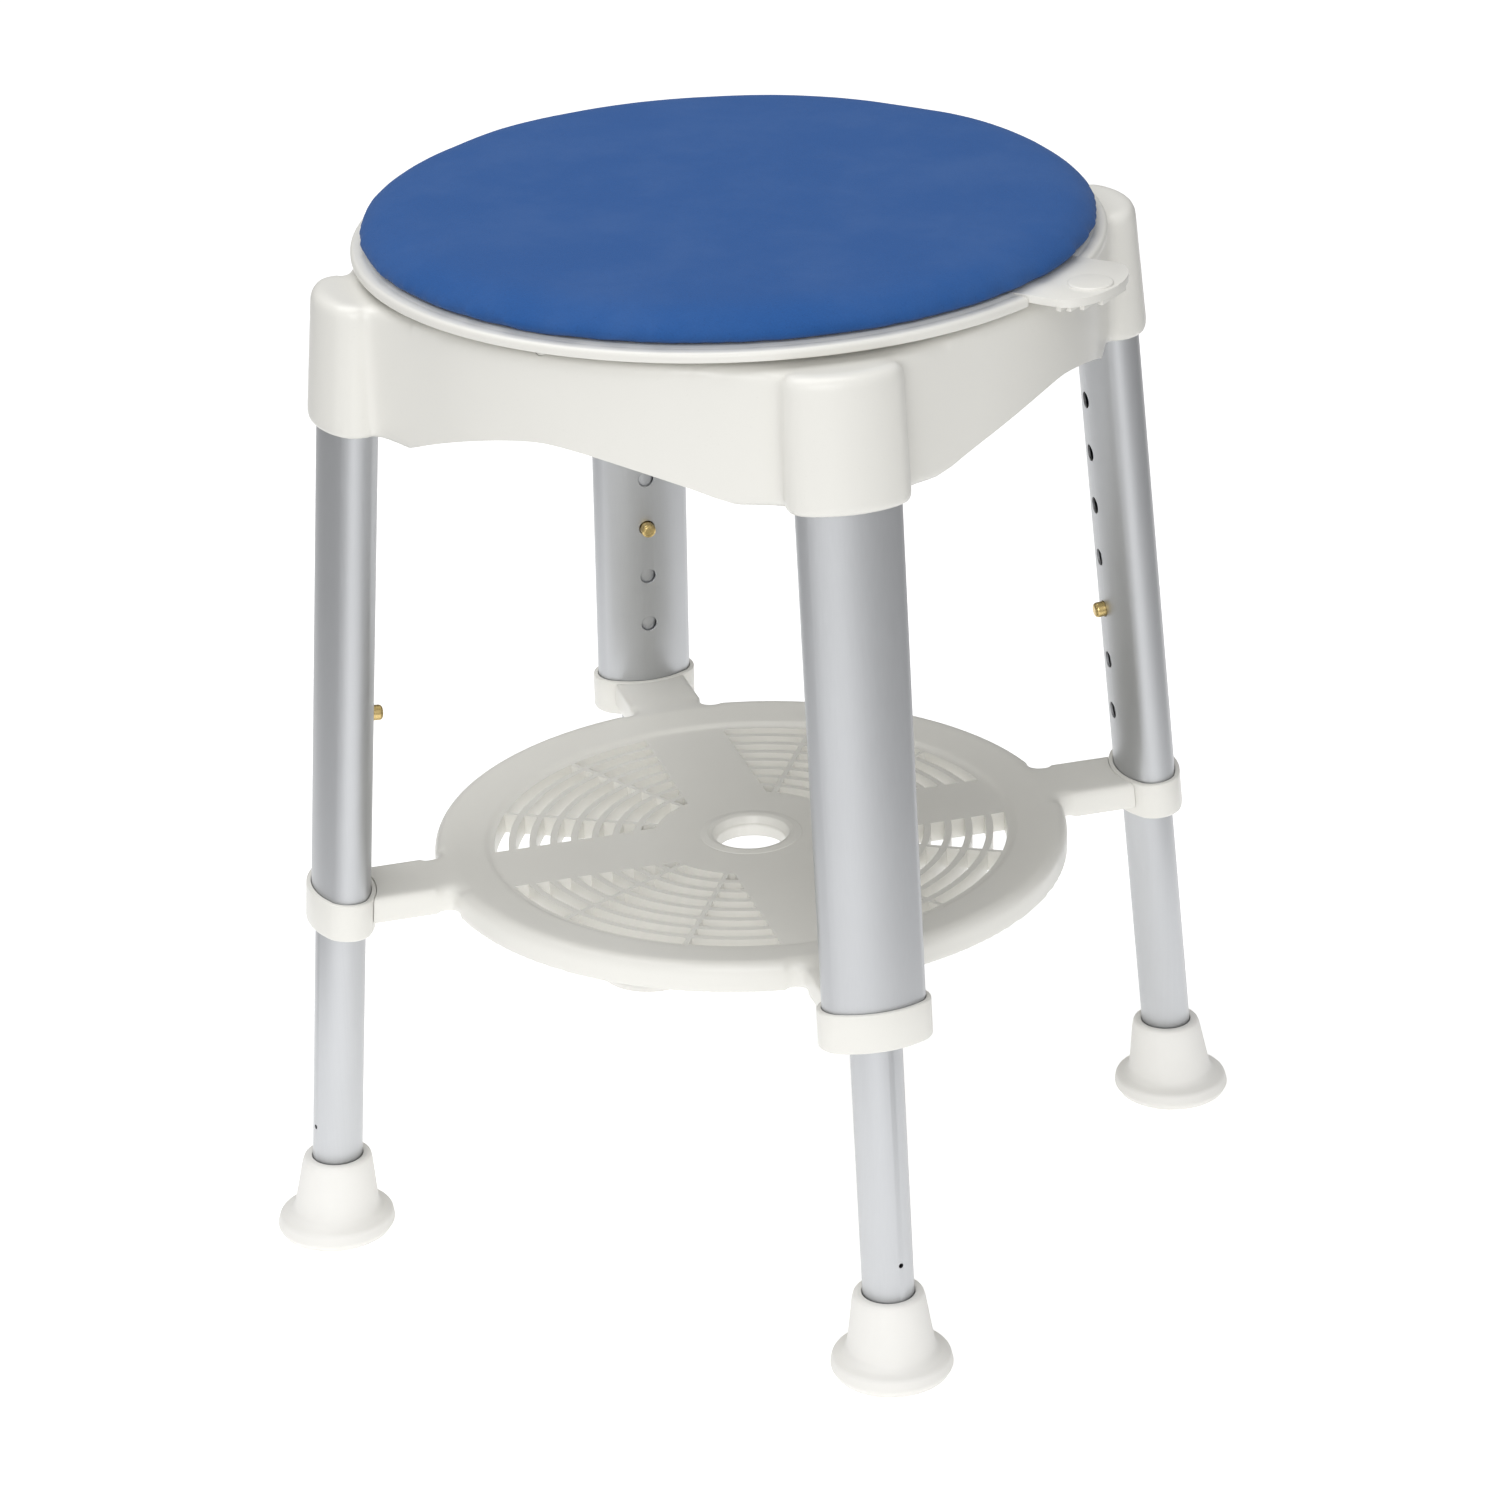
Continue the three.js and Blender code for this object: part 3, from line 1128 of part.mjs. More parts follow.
const legPieces = [
  ["upper_leg", upperLeg(), FINISH.aluminium],
  ["upper_leg_plug", upperLegPlug(), FINISH.innerPlastic],
  ["leg_screw", legScrew(), FINISH.steel],
  ["leg_collar", collar(), FINISH.plastic],
  ["lower_leg", lowerLeg(), FINISH.aluminium],
  ["lower_leg_guide", lowerLegGuide(), FINISH.innerPlastic],
  ["snap_button", snapButton(), FINISH.brass],
  ["snap_spring", snapSpring(), FINISH.springSteel],
  ["foot_washer", footWasher(), FINISH.steel],
];

for (const name of LEG_NAMES) {
  const turn = new THREE.Group();
  turn.rotation.z = legTurn(name);
  const lean = new THREE.Group();
  lean.position.x = FOOT_CIRCLE_RADIUS;
  lean.rotation.y = -LEG_LEAN;
  turn.add(lean);
  for (const [piece, geometry, finish] of legPieces) {
    lean.add(part(`${piece}_${name}`, geometry, finish));
  }
  stool.add(turn);
  stool.add(part(`foot_${name}`, rubberFoot(name), FINISH.rubber));
}

export default stool;
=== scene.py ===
"""Round shower stool: a blue foam pad on a swivelling plate with a pull tab, a moulded white
base, four leaning telescopic legs with spring buttons and rubber feet, and a slotted shelf."""

import json
import math

import bmesh
import bpy
from bpy.props import FloatProperty, FloatVectorProperty, IntProperty, PointerProperty
from mathutils import Matrix, Vector


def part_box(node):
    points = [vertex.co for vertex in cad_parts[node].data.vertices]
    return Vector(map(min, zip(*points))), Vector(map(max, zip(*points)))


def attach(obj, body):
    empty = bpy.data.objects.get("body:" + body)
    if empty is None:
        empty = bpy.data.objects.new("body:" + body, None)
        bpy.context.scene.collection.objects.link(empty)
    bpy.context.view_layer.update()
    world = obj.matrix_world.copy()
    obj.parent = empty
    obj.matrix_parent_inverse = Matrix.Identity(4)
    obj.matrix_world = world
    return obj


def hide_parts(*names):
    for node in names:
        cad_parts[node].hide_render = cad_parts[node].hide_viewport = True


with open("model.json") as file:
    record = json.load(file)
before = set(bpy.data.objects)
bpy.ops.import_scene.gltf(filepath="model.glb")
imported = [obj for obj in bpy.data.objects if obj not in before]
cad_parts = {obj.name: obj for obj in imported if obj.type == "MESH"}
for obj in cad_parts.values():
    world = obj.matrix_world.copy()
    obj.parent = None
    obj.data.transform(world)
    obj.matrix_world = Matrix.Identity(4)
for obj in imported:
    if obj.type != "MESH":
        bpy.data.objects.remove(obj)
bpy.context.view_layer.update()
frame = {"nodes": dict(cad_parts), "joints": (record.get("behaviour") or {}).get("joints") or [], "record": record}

bl_info = {
    "name": "Shower Stool",
    "version": (1, 0, 0),
    "blender": (4, 5, 0),
    "location": "3D View > Sidebar > Stool",
    "description": "Builds a swivelling shower stool round its mechanical frame",
    "category": "Add Mesh",
}

RECORD = frame["record"]
JOINTS = {joint["name"]: joint for joint in frame["joints"]}
MOUNTS = {mount["name"]: mount for mount in RECORD["mounts"]}
LEGS = ("front_left", "front_right", "rear_right", "rear_left")
MM = 0.001
FULL_TURN = 2 * math.pi
ARM_TOP = 0.1683
LOCK_POSITIONS = 12
BASE_RIBS = 8


# ---------------------------------------------------------------- places taken from the frame

def leg_matrix(leg):
    """The leg's own frame: X outwards, Y round the stool, Z climbing the leg from the floor."""
    up = Vector(JOINTS[f"leg_slide_{leg}"]["axis"])
    out = Vector(JOINTS[f"button_press_{leg}"]["axis"])
    turn = Matrix((out, up.cross(out), up)).transposed().to_4x4()
    return Matrix.Translation(MOUNTS[f"foot_{leg}"]["pos_m"]) @ turn


def leg_bearing(leg):
    """Angle of a leg round the seat's axis, from X."""
    foot = MOUNTS[f"foot_{leg}"]["pos_m"]
    return math.atan2(foot[1], foot[0])


def leg_turn(leg):
    """Turns the X axis to point from the seat's axis to a leg."""
    return Matrix.Rotation(leg_bearing(leg), 4, "Z")


def stance_matrix(leg):
    """Upright at the foot of the leg, X outwards."""
    return Matrix.Translation(MOUNTS[f"foot_{leg}"]["pos_m"]) @ leg_turn(leg)


def lean_slope(leg):
    up = Vector(JOINTS[f"leg_slide_{leg}"]["axis"])
    return math.hypot(up.x, up.y) / up.z


def lock_matrix():
    """The seat lock's own frame: X along its pull, Z up."""
    pull = Vector(JOINTS["lock_pull"]["axis"])
    return Matrix.Rotation(math.atan2(pull.y, pull.x), 4, "Z")


def lowest(node):
    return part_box(node)[0].z


def highest(node):
    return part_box(node)[1].z


# ---------------------------------------------------------------- sizes and colours

def length(name, default, description):
    return FloatProperty(
        name=name, default=default, description=description, unit="LENGTH", precision=5
    )


def colour(name, default, description):
    return FloatVectorProperty(
        name=name, default=default, description=description,
        subtype="COLOR", size=3, min=0, max=1,
    )


class SeatSizes(bpy.types.PropertyGroup):
    pad_radius: length("Pad radius", 0.1579, "Widest radius of the foam pad")
    pad_bulge: length("Pad bulge height", 0.4549, "Height above the floor of the widest ring")
    pad_top: length("Pad top", highest("seat_pad") - 0.0002, "Top of the crown")
    pad_puff: length("Pad puff", 0.0012, "The furthest that the filled pad may swell")
    plate_radius: length("Plate radius", 0.1617, "Radius of the seat plate's rim")
    plate_rim: length("Rim height", 0.0043, "Height of the seat plate's rim")
    tab_half_width: length("Tab half width", 0.026, "Half the width of the pull tab")
    tab_shoulder: length("Tab shoulder", 0.1725, "Where the tab's rounded end starts")
    tab_tip: length("Tab tip", 0.1865, "How far the pull tab reaches from the pivot")
    tab_thickness: length("Tab thickness", 0.0034, "Thickness of the part that is gripped")
    disc_radius: length("Thumb disc", 0.0096, "Radius of the raised disc under the thumb")


class BaseSizes(bpy.types.PropertyGroup):
    radius: length("Drum radius", 0.158, "Outer radius of the base drum")
    wall: length("Wall", 0.003, "Wall of the base moulding")
    shoulder: length("Shoulder", 0.006, "Rounding of the drum's upper edge")
    top: length("Top", highest("base_frame"), "Height of the drum's ledge above the floor")
    skirt: length("Skirt", 0.3838, "Height of the skirt's low corners")
    arch_rise: length("Arch rise", 0.0225, "How far each side of the skirt arches up")
    arch_span: length("Arch half span", 0.0814, "Half the width of each arch")
    deck: length("Deck", 0.439, "Top of the sunken deck")
    fillet: IntProperty(
        name="Fillet passes", default=26, min=0,
        description="Smoothing passes where the sockets run into the drum",
    )


class LegSizes(bpy.types.PropertyGroup):
    width: length("Oval width", 0.0448, "Width of the oval tube, round the stool")
    depth: length("Oval depth", 0.0254, "Depth of the oval tube, towards the middle")
    face_radius: length("Face radius", 0.036, "Radius of the bowed faces")
    end_radius: length("End radius", 0.0096, "Radius of the round ends")
    wall: length("Tube wall", 0.0012, "Wall of both tubes")
    round_diameter: length("Round tube", 0.0224, "Diameter of the sliding tube")
    hole_pitch: length("Hole pitch", 0.0254, "Distance between the button holes")
    hole_radius: length("Hole radius", 0.00375, "Radius of the button holes")
    button_up: length("Button", 0.2511, "Distance of the button from the floor, along the leg")


class ShelfSizes(bpy.types.PropertyGroup):
    radius: length("Shelf radius", 0.1424, "Outer radius of the shelf")
    bottom: length("Shelf bottom", lowest("shelf"), "Underside of the shelf")
    rim_top: length("Rim top", 0.1696, "Crest of the rim")
    grille_top: length("Grille top", 0.1648, "Top of the slats")
    grille_radius: length("Grille radius", 0.1155, "Outer edge of the outermost slot")
    slot_pitch: length("Slot pitch", 0.00935, "From one slot to the next")
    slot_width: length("Slot width", 0.0063, "Width of a slot")
    rib: length("Rib", 0.0022, "Width of the thin radial ribs")
    spoke: length("Spoke", 0.0375, "Width of the spokes towards the legs")
    arm: length("Arm", 0.0345, "Width of the arms")


class Finishes(bpy.types.PropertyGroup):
    plastic: colour("Plastic", (0.80, 0.79, 0.745), "White moulded plastic")
    foam: colour("Foam", (0.016, 0.085, 0.285), "Blue foam")
    rubber: colour("Rubber", (0.80, 0.79, 0.76), "Pale rubber of the feet")
    aluminium: colour("Aluminium", (0.555, 0.565, 0.58), "Satin anodised aluminium")
    brass: colour("Brass", (0.66, 0.50, 0.22), "Snap buttons")
    steel: colour("Steel", (0.50, 0.50, 0.51), "Zinc-plated steel")
    floor: colour("Floor", (0.90, 0.90, 0.90), "Studio floor")


class StageSettings(bpy.types.PropertyGroup):
    bearing: FloatProperty(
        name="Bearing", default=math.radians(29.99), subtype="ANGLE",
        description="Where the camera stands, turned from the front towards the right",
    )
    distance: length("Distance", 2.05035, "From the seat's axis to the camera, along the floor")
    height: length("Height", 1.12268, "Height of the camera")
    pan: FloatProperty(
        name="Pan", default=math.radians(-0.028), subtype="ANGLE",
        description="Turn of the view away from the seat's axis",
    )
    tilt: FloatProperty(
        name="Tilt", default=math.radians(24.105), subtype="ANGLE",
        description="How far the camera looks down",
    )
    roll: FloatProperty(
        name="Roll", default=math.radians(-2.099), subtype="ANGLE",
        description="Turn of the camera about its line of sight",
    )
    lens: FloatProperty(
        name="Lens", default=120.51, min=10, description="Focal length in mm, on a 36 mm sensor"
    )
    key: FloatProperty(name="Key light", default=26, description="Power of the front light")
    overhead: FloatProperty(name="Top light", default=30, description="Power of the top light")
    front_light: FloatProperty(
        name="Front glow", default=0.7, description="Brightness of the studio behind the camera"
    )
    wall_light: FloatProperty(
        name="Wall glow", default=0.24, description="Brightness of the studio's other walls"
    )
    lobe_edge: FloatProperty(
        name="Glow edge", default=-0.3, description="Where the front glow ends, as a cosine"
    )
    # Painted light: inside this half width of the camera's line the floor is bright and glows; beyond it the floor
    # is painted darker as shade.
    painted_light_half_width: length("Painted light width", 0.41, "Half the width of the bright floor under the stool")
    key_height: length("Key height", 1.7, "Height of the front light")
    floor_glow: FloatProperty(
        name="Floor glow", default=0.5, description="Light that the floor gives of itself"
    )


# ---------------------------------------------------------------- outlines

def rounded(corners, closed=True, steps=5):
    """Points of an outline whose corners (x, y, radius) are rounded by arcs."""
    points = []
    last = len(corners) - 1
    for i, (x, y, radius) in enumerate(corners):
        here = Vector((x, y))
        if radius == 0 or (not closed and i in (0, last)):
            points.append(here)
            continue
        back = Vector(corners[i - 1][:2]) - here
        ahead = Vector(corners[(i + 1) % len(corners)][:2]) - here
        half = back.angle(ahead) / 2
        reach = min(radius / math.tan(half), 0.49 * back.length, 0.49 * ahead.length)
        centre = here + (back.normalized() + ahead.normalized()).normalized() * reach / math.cos(half)
        start = here + back.normalized() * reach - centre
        sweep = start.angle_signed(here + ahead.normalized() * reach - centre)
        for step in range(steps + 1):
            points.append(centre + Matrix.Rotation(-sweep * step / steps, 2) @ start)
    return points


def arc(centre, radius, start, end, steps):
    """Points of an arc; the angles are in radians."""
    turns = (start + (end - start) * step / steps for step in range(steps + 1))
    return [Vector(centre) + radius * Vector((math.cos(t), math.sin(t))) for t in turns]


def oval(sizes, offset=0.0, steps=14):
    """The oval tube's outline, grown by an offset: bowed faces along X, round ends along Y."""
    face = sizes.face_radius + offset
    end = sizes.end_radius + offset
    face_centre = sizes.face_radius - sizes.depth / 2
    end_centre = sizes.width / 2 - sizes.end_radius
    gap = math.hypot(face_centre, end_centre)
    share = (face ** 2 + gap ** 2 - end ** 2) / (2 * face * gap)
    turn = math.atan2(end_centre, face_centre) + math.acos(min(1.0, share))
    meet = Vector((face * math.cos(turn) - face_centre, face * math.sin(turn) - end_centre))
    tip = math.atan2(meet.y, meet.x)
    runs = (
        arc((-face_centre, 0), face, -turn, turn, steps),
        arc((0, end_centre), end, tip, math.pi - tip, steps),
        arc((face_centre, 0), face, math.pi - turn, math.pi + turn, steps),
        arc((0, -end_centre), end, math.pi + tip, FULL_TURN - tip, steps),
    )
    return [point for run in runs for point in run[:-1]]


# ---------------------------------------------------------------- solids

def spun(outline, segments=160):
    """Spins an outline of (radius, height) points about Z. Off the axis it closes on itself."""
    bm = bmesh.new()
    ring = [bm.verts.new((radius, 0, height)) for radius, height in outline]
    pairs = list(zip(ring, ring[1:]))
    if outline[0][0] > 0:
        pairs.append((ring[-1], ring[0]))
    edges = [bm.edges.new(pair) for pair in pairs]
    bmesh.ops.spin(
        bm, geom=ring + edges, cent=(0, 0, 0), axis=(0, 0, 1),
        angle=FULL_TURN, steps=segments, use_merge=True,
    )
    bmesh.ops.remove_doubles(bm, verts=bm.verts, dist=1e-6)
    bmesh.ops.recalc_face_normals(bm, faces=bm.faces)
    return bm


def prism(outline, low, high):
    """An outline on XY pushed up from one height to another."""
    return stacked(outline, [(low, 0.0), (high, 0.0)])


def stacked(outline, levels):
    """Pushes an outline up through levels of (height, inset), so its ends can be rounded."""
    bm = bmesh.new()
    face = bm.faces.new([bm.verts.new((x, y, levels[0][0])) for x, y in outline])
    half = Vector((max(abs(p[0]) for p in outline), max(abs(p[1]) for p in outline)))

    def share(inset):
        return Vector(((half.x - inset) / half.x, (half.y - inset) / half.y))

    first = share(levels[0][1])
    bmesh.ops.scale(bm, vec=(first.x, first.y, 1), verts=bm.verts)
    for before, after in zip(levels, levels[1:]):
        made = bmesh.ops.extrude_face_region(bm, geom=[face])["geom"]
        if before is not levels[0]:
            bmesh.ops.delete(bm, geom=[face], context="FACES_ONLY")
        moved = [item for item in made if isinstance(item, bmesh.types.BMVert)]
        face = next(item for item in made if isinstance(item, bmesh.types.BMFace))
        now, then = share(after[1]), share(before[1])
        bmesh.ops.scale(bm, vec=(now.x / then.x, now.y / then.y, 1), verts=moved)
        bmesh.ops.translate(bm, vec=(0, 0, after[0] - before[0]), verts=moved)
    bmesh.ops.recalc_face_normals(bm, faces=bm.faces)
    return bm


def round_levels(low, high, bottom, top, steps=6):
    """Levels for stacked() whose two ends are rounded by these radii."""
    turns = [math.pi / 2 * step / steps for step in range(steps + 1)]
    levels = [(low + bottom * (1 - math.cos(t)), bottom * (1 - math.sin(t))) for t in turns]
    levels += [
        (high - top * (1 - math.cos(t)), top * (1 - math.sin(t))) for t in reversed(turns)
    ]
    return levels


def block(low, high):
    bm = bmesh.new()
    low, high = Vector(low), Vector(high)
    bmesh.ops.create_cube(bm, size=1, matrix=Matrix.Translation((low + high) / 2))
    middle = (low + high) / 2
    bmesh.ops.scale(bm, vec=high - low, verts=bm.verts, space=Matrix.Translation(-middle))
    return bm


def rod(radius, low, high, segments=32):
    bm = bmesh.new()
    bmesh.ops.create_cone(
        bm, cap_ends=True, segments=segments, radius1=radius, radius2=radius,
        depth=high - low, matrix=Matrix.Translation((0, 0, (low + high) / 2)),
    )
    return bm


def turned(bm, matrix):
    bmesh.ops.transform(bm, matrix=matrix, verts=bm.verts)
    return bm


def cross_rod(radius, start, end, height, segments=32):
    """A rod along the leg's X axis at a height on the leg."""
    turn = Matrix.Translation((0, 0, height)) @ Matrix.Rotation(math.pi / 2, 4, "Y")
    return turned(rod(radius, start, end, segments), turn)


def solid(bm, name="solid"):
    mesh = bpy.data.meshes.new(name)
    bm.to_mesh(mesh)
    bm.free()
    thing = bpy.data.objects.new(name, mesh)
    bpy.context.scene.collection.objects.link(thing)
    return thing


def settle(thing):
    """Turns a piece's modifiers into its mesh."""
    graph = bpy.context.evaluated_depsgraph_get()
    mesh = bpy.data.meshes.new_from_object(thing.evaluated_get(graph))
    thing.modifiers.clear()
    stale = thing.data
    thing.data = mesh
    bpy.data.meshes.remove(stale)
    return thing


def combine(thing, tools, operation):
    for tool in tools:
        step = thing.modifiers.new("combine", "BOOLEAN")
        step.operation = operation
        step.solver = "MANIFOLD"
        step.object = tool
    settle(thing)
    for tool in tools:
        bpy.data.meshes.remove(tool.data)
    return thing


def join(thing, tools):
    return combine(thing, [solid(bm) for bm in tools], "UNION")


def carve(thing, tools):
    return combine(thing, [solid(bm) for bm in tools], "DIFFERENCE")


def soften(thing, grain, passes, near, everywhere=4):
    """Remeshes a solid finely and melts its creases where near(point) holds."""
    step = thing.modifiers.new("grain", "REMESH")
    step.mode = "VOXEL"
    step.voxel_size = grain
    settle(thing)
    bm = bmesh.new()
    bm.from_mesh(thing.data)
    for _ in range(everywhere):
        smooth(bm, bm.verts)
    chosen = [vert for vert in bm.verts if near(vert.co)]
    for _ in range(passes):
        smooth(bm, chosen)
    bm.to_mesh(thing.data)
    bm.free()
    return thing


def smooth(bm, verts):
    bmesh.ops.smooth_vert(
        bm, verts=verts, factor=0.5, use_axis_x=True, use_axis_y=True, use_axis_z=True
    )


def ease_edges(thing, width, angle=32, segments=2):
    step = thing.modifiers.new("ease", "BEVEL")
    step.width = width
    step.segments = segments
    step.limit_method = "ANGLE"
    step.angle_limit = math.radians(angle)
    step.use_clamp_overlap = True
    return settle(thing)


def present(thing, name, material, body, replaces=(), sharp=38):
    """Names a piece, gives it its finish and hangs it on its body."""
    thing.name = name
    thing.data.name = name
    thing.data.materials.clear()
    thing.data.materials.append(material)
    thing.data.shade_smooth()
    thing.data.set_sharp_from_angle(angle=math.radians(sharp))
    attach(thing, body)
    if replaces:
        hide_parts(*replaces)
    return thing


# ---------------------------------------------------------------- finishes

class Value:
    """A socket's number, for sums written in plain Python."""

    def __init__(self, finish, socket):
        self.finish = finish
        self.socket = socket

    def sum(self, operation, first, second):
        node = self.finish.node("ShaderNodeMath", {"operation": operation}, {0: first, 1: second})
        return Value(self.finish, node.outputs[0])

    def __add__(self, other):
        return self.sum("ADD", self, other)

    def __mul__(self, other):
        return self.sum("MULTIPLY", self, other)

    def __sub__(self, other):
        return self.sum("SUBTRACT", self, other)

    def __rsub__(self, other):
        return self.sum("SUBTRACT", other, self)

    __radd__ = __add__
    __rmul__ = __mul__


class Finish:
    """One material under construction, with its Principled shader as a base."""

    def __init__(self, name, **constants):
        self.material = bpy.data.materials.new(name)
        self.material.use_nodes = True
        self.tree = self.material.node_tree
        self.shader = self.tree.nodes["Principled BSDF"]
        for socket, value in constants.items():
            self.set(self.shader, socket.replace("_", " "), value)
        self.place = self.node("ShaderNodeTexCoord").outputs["Object"]

    def set(self, node, socket, value):
        if isinstance(value, Value):
            value = value.socket
        if isinstance(value, bpy.types.NodeSocket):
            self.tree.links.new(value, node.inputs[socket])
        else:
            node.inputs[socket].default_value = value

    def node(self, kind, settings=None, inputs=None):
        node = self.tree.nodes.new(kind)
        for name, value in (settings or {}).items():
            setattr(node, name, value)
        for socket, value in (inputs or {}).items():
            self.set(node, socket, value)
        return node

    def noise(self, scale, detail=2.0, roughness=0.5, place=None):
        node = self.node("ShaderNodeTexNoise", None, {
            "Vector": place or self.place, "Scale": scale, "Detail": detail, "Roughness": roughness,
        })
        return Value(self, node.outputs["Fac"])

    def cells(self, scale, feature="F1"):
        node = self.node("ShaderNodeTexVoronoi", {"feature": feature}, {
            "Vector": self.place, "Scale": scale,
        })
        return Value(self, node.outputs["Distance"])

    def stretched(self, scale):
        """Object coordinates drawn out along each axis by a scale."""
        node = self.node("ShaderNodeMapping", None, {"Vector": self.place, "Scale": scale})
        return node.outputs["Vector"]

    def ramp(self, value, low, high):
        """Takes a value from 0 at low to 1 at high."""
        node = self.node("ShaderNodeMapRange", {"interpolation_type": "SMOOTHSTEP"}, {
            "Value": value, "From Min": low, "From Max": high,
        })
        return Value(self, node.outputs["Result"])

    def height(self):
        node = self.node("ShaderNodeSeparateXYZ", None, {"Vector": self.place})
        return Value(self, node.outputs["Z"])

    def along(self, direction):
        """How far a point lies along a direction."""
        node = self.node("ShaderNodeVectorMath", {"operation": "DOT_PRODUCT"}, {
            0: self.place, 1: direction,
        })
        return Value(self, node.outputs["Value"])

    def mix(self, share, first, second):
        """Mixes two colours by a share. The first may be a link."""
        if not isinstance(first, bpy.types.NodeSocket):
            first = (*first, 1)
        node = self.node("ShaderNodeMix", {"data_type": "RGBA"}, {
            "Factor": share, 6: first, 7: (*second, 1),
        })
        return node.outputs[2]

    def relief(self, value, distance, strength=1.0):
        bump = self.node("ShaderNodeBump", None, {
            "Height": value, "Distance": distance, "Strength": strength,
        })
        self.set(self.shader, "Normal", bump.outputs["Normal"])

    def colour(self, value):
        self.set(self.shader, "Base Color", value)

    def roughness(self, value):
        self.set(self.shader, "Roughness", value)


def shade(colour_value, factor):
    return tuple(min(1.0, channel * factor) for channel in colour_value)


def moulded_plastic(name, tint, gloss=0.34, grain=0.00003):
    finish = Finish(name, Specular_IOR_Level=0.5, Coat_Weight=0.12, Coat_Roughness=0.22)
    cloud = finish.noise(9.0, detail=3.0)
    speck = finish.ramp(finish.noise(1100.0, detail=1.0), 0.70, 0.78)
    body = finish.mix(cloud, shade(tint, 0.965), shade(tint, 1.02))
    finish.colour(finish.mix(speck * 0.25, body, shade(tint, 0.86)))
    finish.roughness(finish.noise(60.0, detail=4.0) * 0.16 + (gloss - 0.08))
    finish.relief(finish.noise(900.0, detail=2.0) + finish.noise(70.0) * 1.2, grain, 0.35)
    return finish.material


def foam_skin(name, tint):
    finish = Finish(
        name, Specular_IOR_Level=0.22, Sheen_Weight=0.08, Sheen_Roughness=0.55,
        Sheen_Tint=(0.72, 0.80, 1.0, 1),
    )
    grain = finish.noise(1500.0, detail=3.0, roughness=0.7)
    cloud = finish.noise(22.0, detail=5.0, roughness=0.62)
    pores = finish.ramp(finish.cells(620.0), 0.02, 0.20)
    body = finish.mix(grain, shade(tint, 0.74), shade(tint, 1.28))
    body = finish.mix(finish.ramp(cloud, 0.35, 0.75) * 0.30, body, (0.055, 0.13, 0.33))
    # Painted shade: the pores are pits in the relief, and their darker colour is shade painted into the pits.
    finish.colour(finish.mix((1 - pores) * 0.45, body, shade(tint, 0.45)))
    finish.roughness(grain * 0.18 + 0.72)
    finish.relief(grain + pores * 0.8 + cloud * 0.6, 0.00022, 0.55)
    return finish.material


def drawn_aluminium(name, tint):
    finish = Finish(name, Metallic=1.0)
    streaks = finish.noise(1.0, detail=3.0, place=finish.stretched((1500.0, 1500.0, 5.0)))
    fine = finish.noise(2600.0, detail=1.0)
    cloud = finish.noise(14.0, detail=3.0)
    finish.colour(finish.mix(streaks * 0.5 + cloud * 0.5, shade(tint, 0.93), shade(tint, 1.07)))
    finish.roughness(streaks * 0.10 + fine * 0.08 + 0.36)
    finish.relief(streaks + fine * 0.5, 0.00002, 0.5)
    return finish.material


def metal(name, tint, gloss):
    finish = Finish(name, Metallic=1.0)
    marks = finish.noise(420.0, detail=3.0)
    finish.colour(finish.mix(marks, shade(tint, 0.88), shade(tint, 1.1)))
    finish.roughness(marks * 0.14 + gloss)
    finish.relief(marks, 0.00002, 0.4)
    return finish.material


def pale_rubber(name, tint):
    finish = Finish(name, Specular_IOR_Level=0.45)
    cloud = finish.noise(35.0, detail=4.0)
    # Darker and browner towards the bottom, over the lowest 10 mm of the foot, mottled by the cloud noise.
    darker_low = finish.ramp(finish.height(), 0.010, 0.0)
    body = finish.mix(cloud, shade(tint, 0.95), shade(tint, 1.03))
    finish.colour(finish.mix(darker_low * cloud * 0.35, body, (0.52, 0.50, 0.46)))
    finish.roughness(cloud * 0.15 + 0.40)
    finish.relief(finish.noise(800.0, detail=3.0), 0.00004, 0.4)
    return finish.material


def finish_named(name):
    """Each finish is made once and shared."""
    tints = bpy.context.scene.stool_finishes
    makers = {
        "white_plastic": lambda: moulded_plastic(name, tints.plastic),
        "inner_plastic": lambda: moulded_plastic(name, shade(tints.plastic, 0.93), gloss=0.5),
        "nylon": lambda: moulded_plastic(name, shade(tints.plastic, 1.05), gloss=0.42),
        "foam": lambda: foam_skin(name, tints.foam),
        "foot_rubber": lambda: pale_rubber(name, tints.rubber),
        "tube_aluminium": lambda: drawn_aluminium(name, tints.aluminium),
        "button_brass": lambda: metal(name, tints.brass, 0.2),
        "steel": lambda: metal(name, tints.steel, 0.3),
        "spring_steel": lambda: metal(name, shade(tints.steel, 0.85), 0.32),
    }
    made = bpy.data.materials.get("stool_" + name)
    if made is None:
        made = makers[name]()
        made.name = "stool_" + name
    return made


# ---------------------------------------------------------------- seat

def build_pad(sizes):
    floor = lowest("seat_pad")
    outline = rounded([
        (0, floor, 0),
        (sizes.pad_radius - 0.0028, floor, 0.0010),
        (sizes.pad_radius - 0.0006, sizes.pad_bulge - 0.0010, 0.006),
        (sizes.pad_radius - 0.0010, sizes.pad_bulge + 0.0030, 0.006),
        (sizes.pad_radius - 0.0135, sizes.pad_top - 0.0020, 0.014),
        (sizes.pad_radius - 0.0500, sizes.pad_top - 0.0006, 0.08),
        (0, sizes.pad_top, 0),
    ], closed=False, steps=8)
    pad = solid(spun(outline, 120))
    step = pad.modifiers.new("grain", "REMESH")
    step.mode = "VOXEL"
    step.voxel_size = 0.004
    settle(pad)
    puff(pad, sizes.pad_puff)
    rest_flat(pad, floor, sizes)
    finer = pad.modifiers.new("finer", "SUBSURF")
    finer.levels = 1
    finer.render_levels = 1
    settle(pad)
    return pad


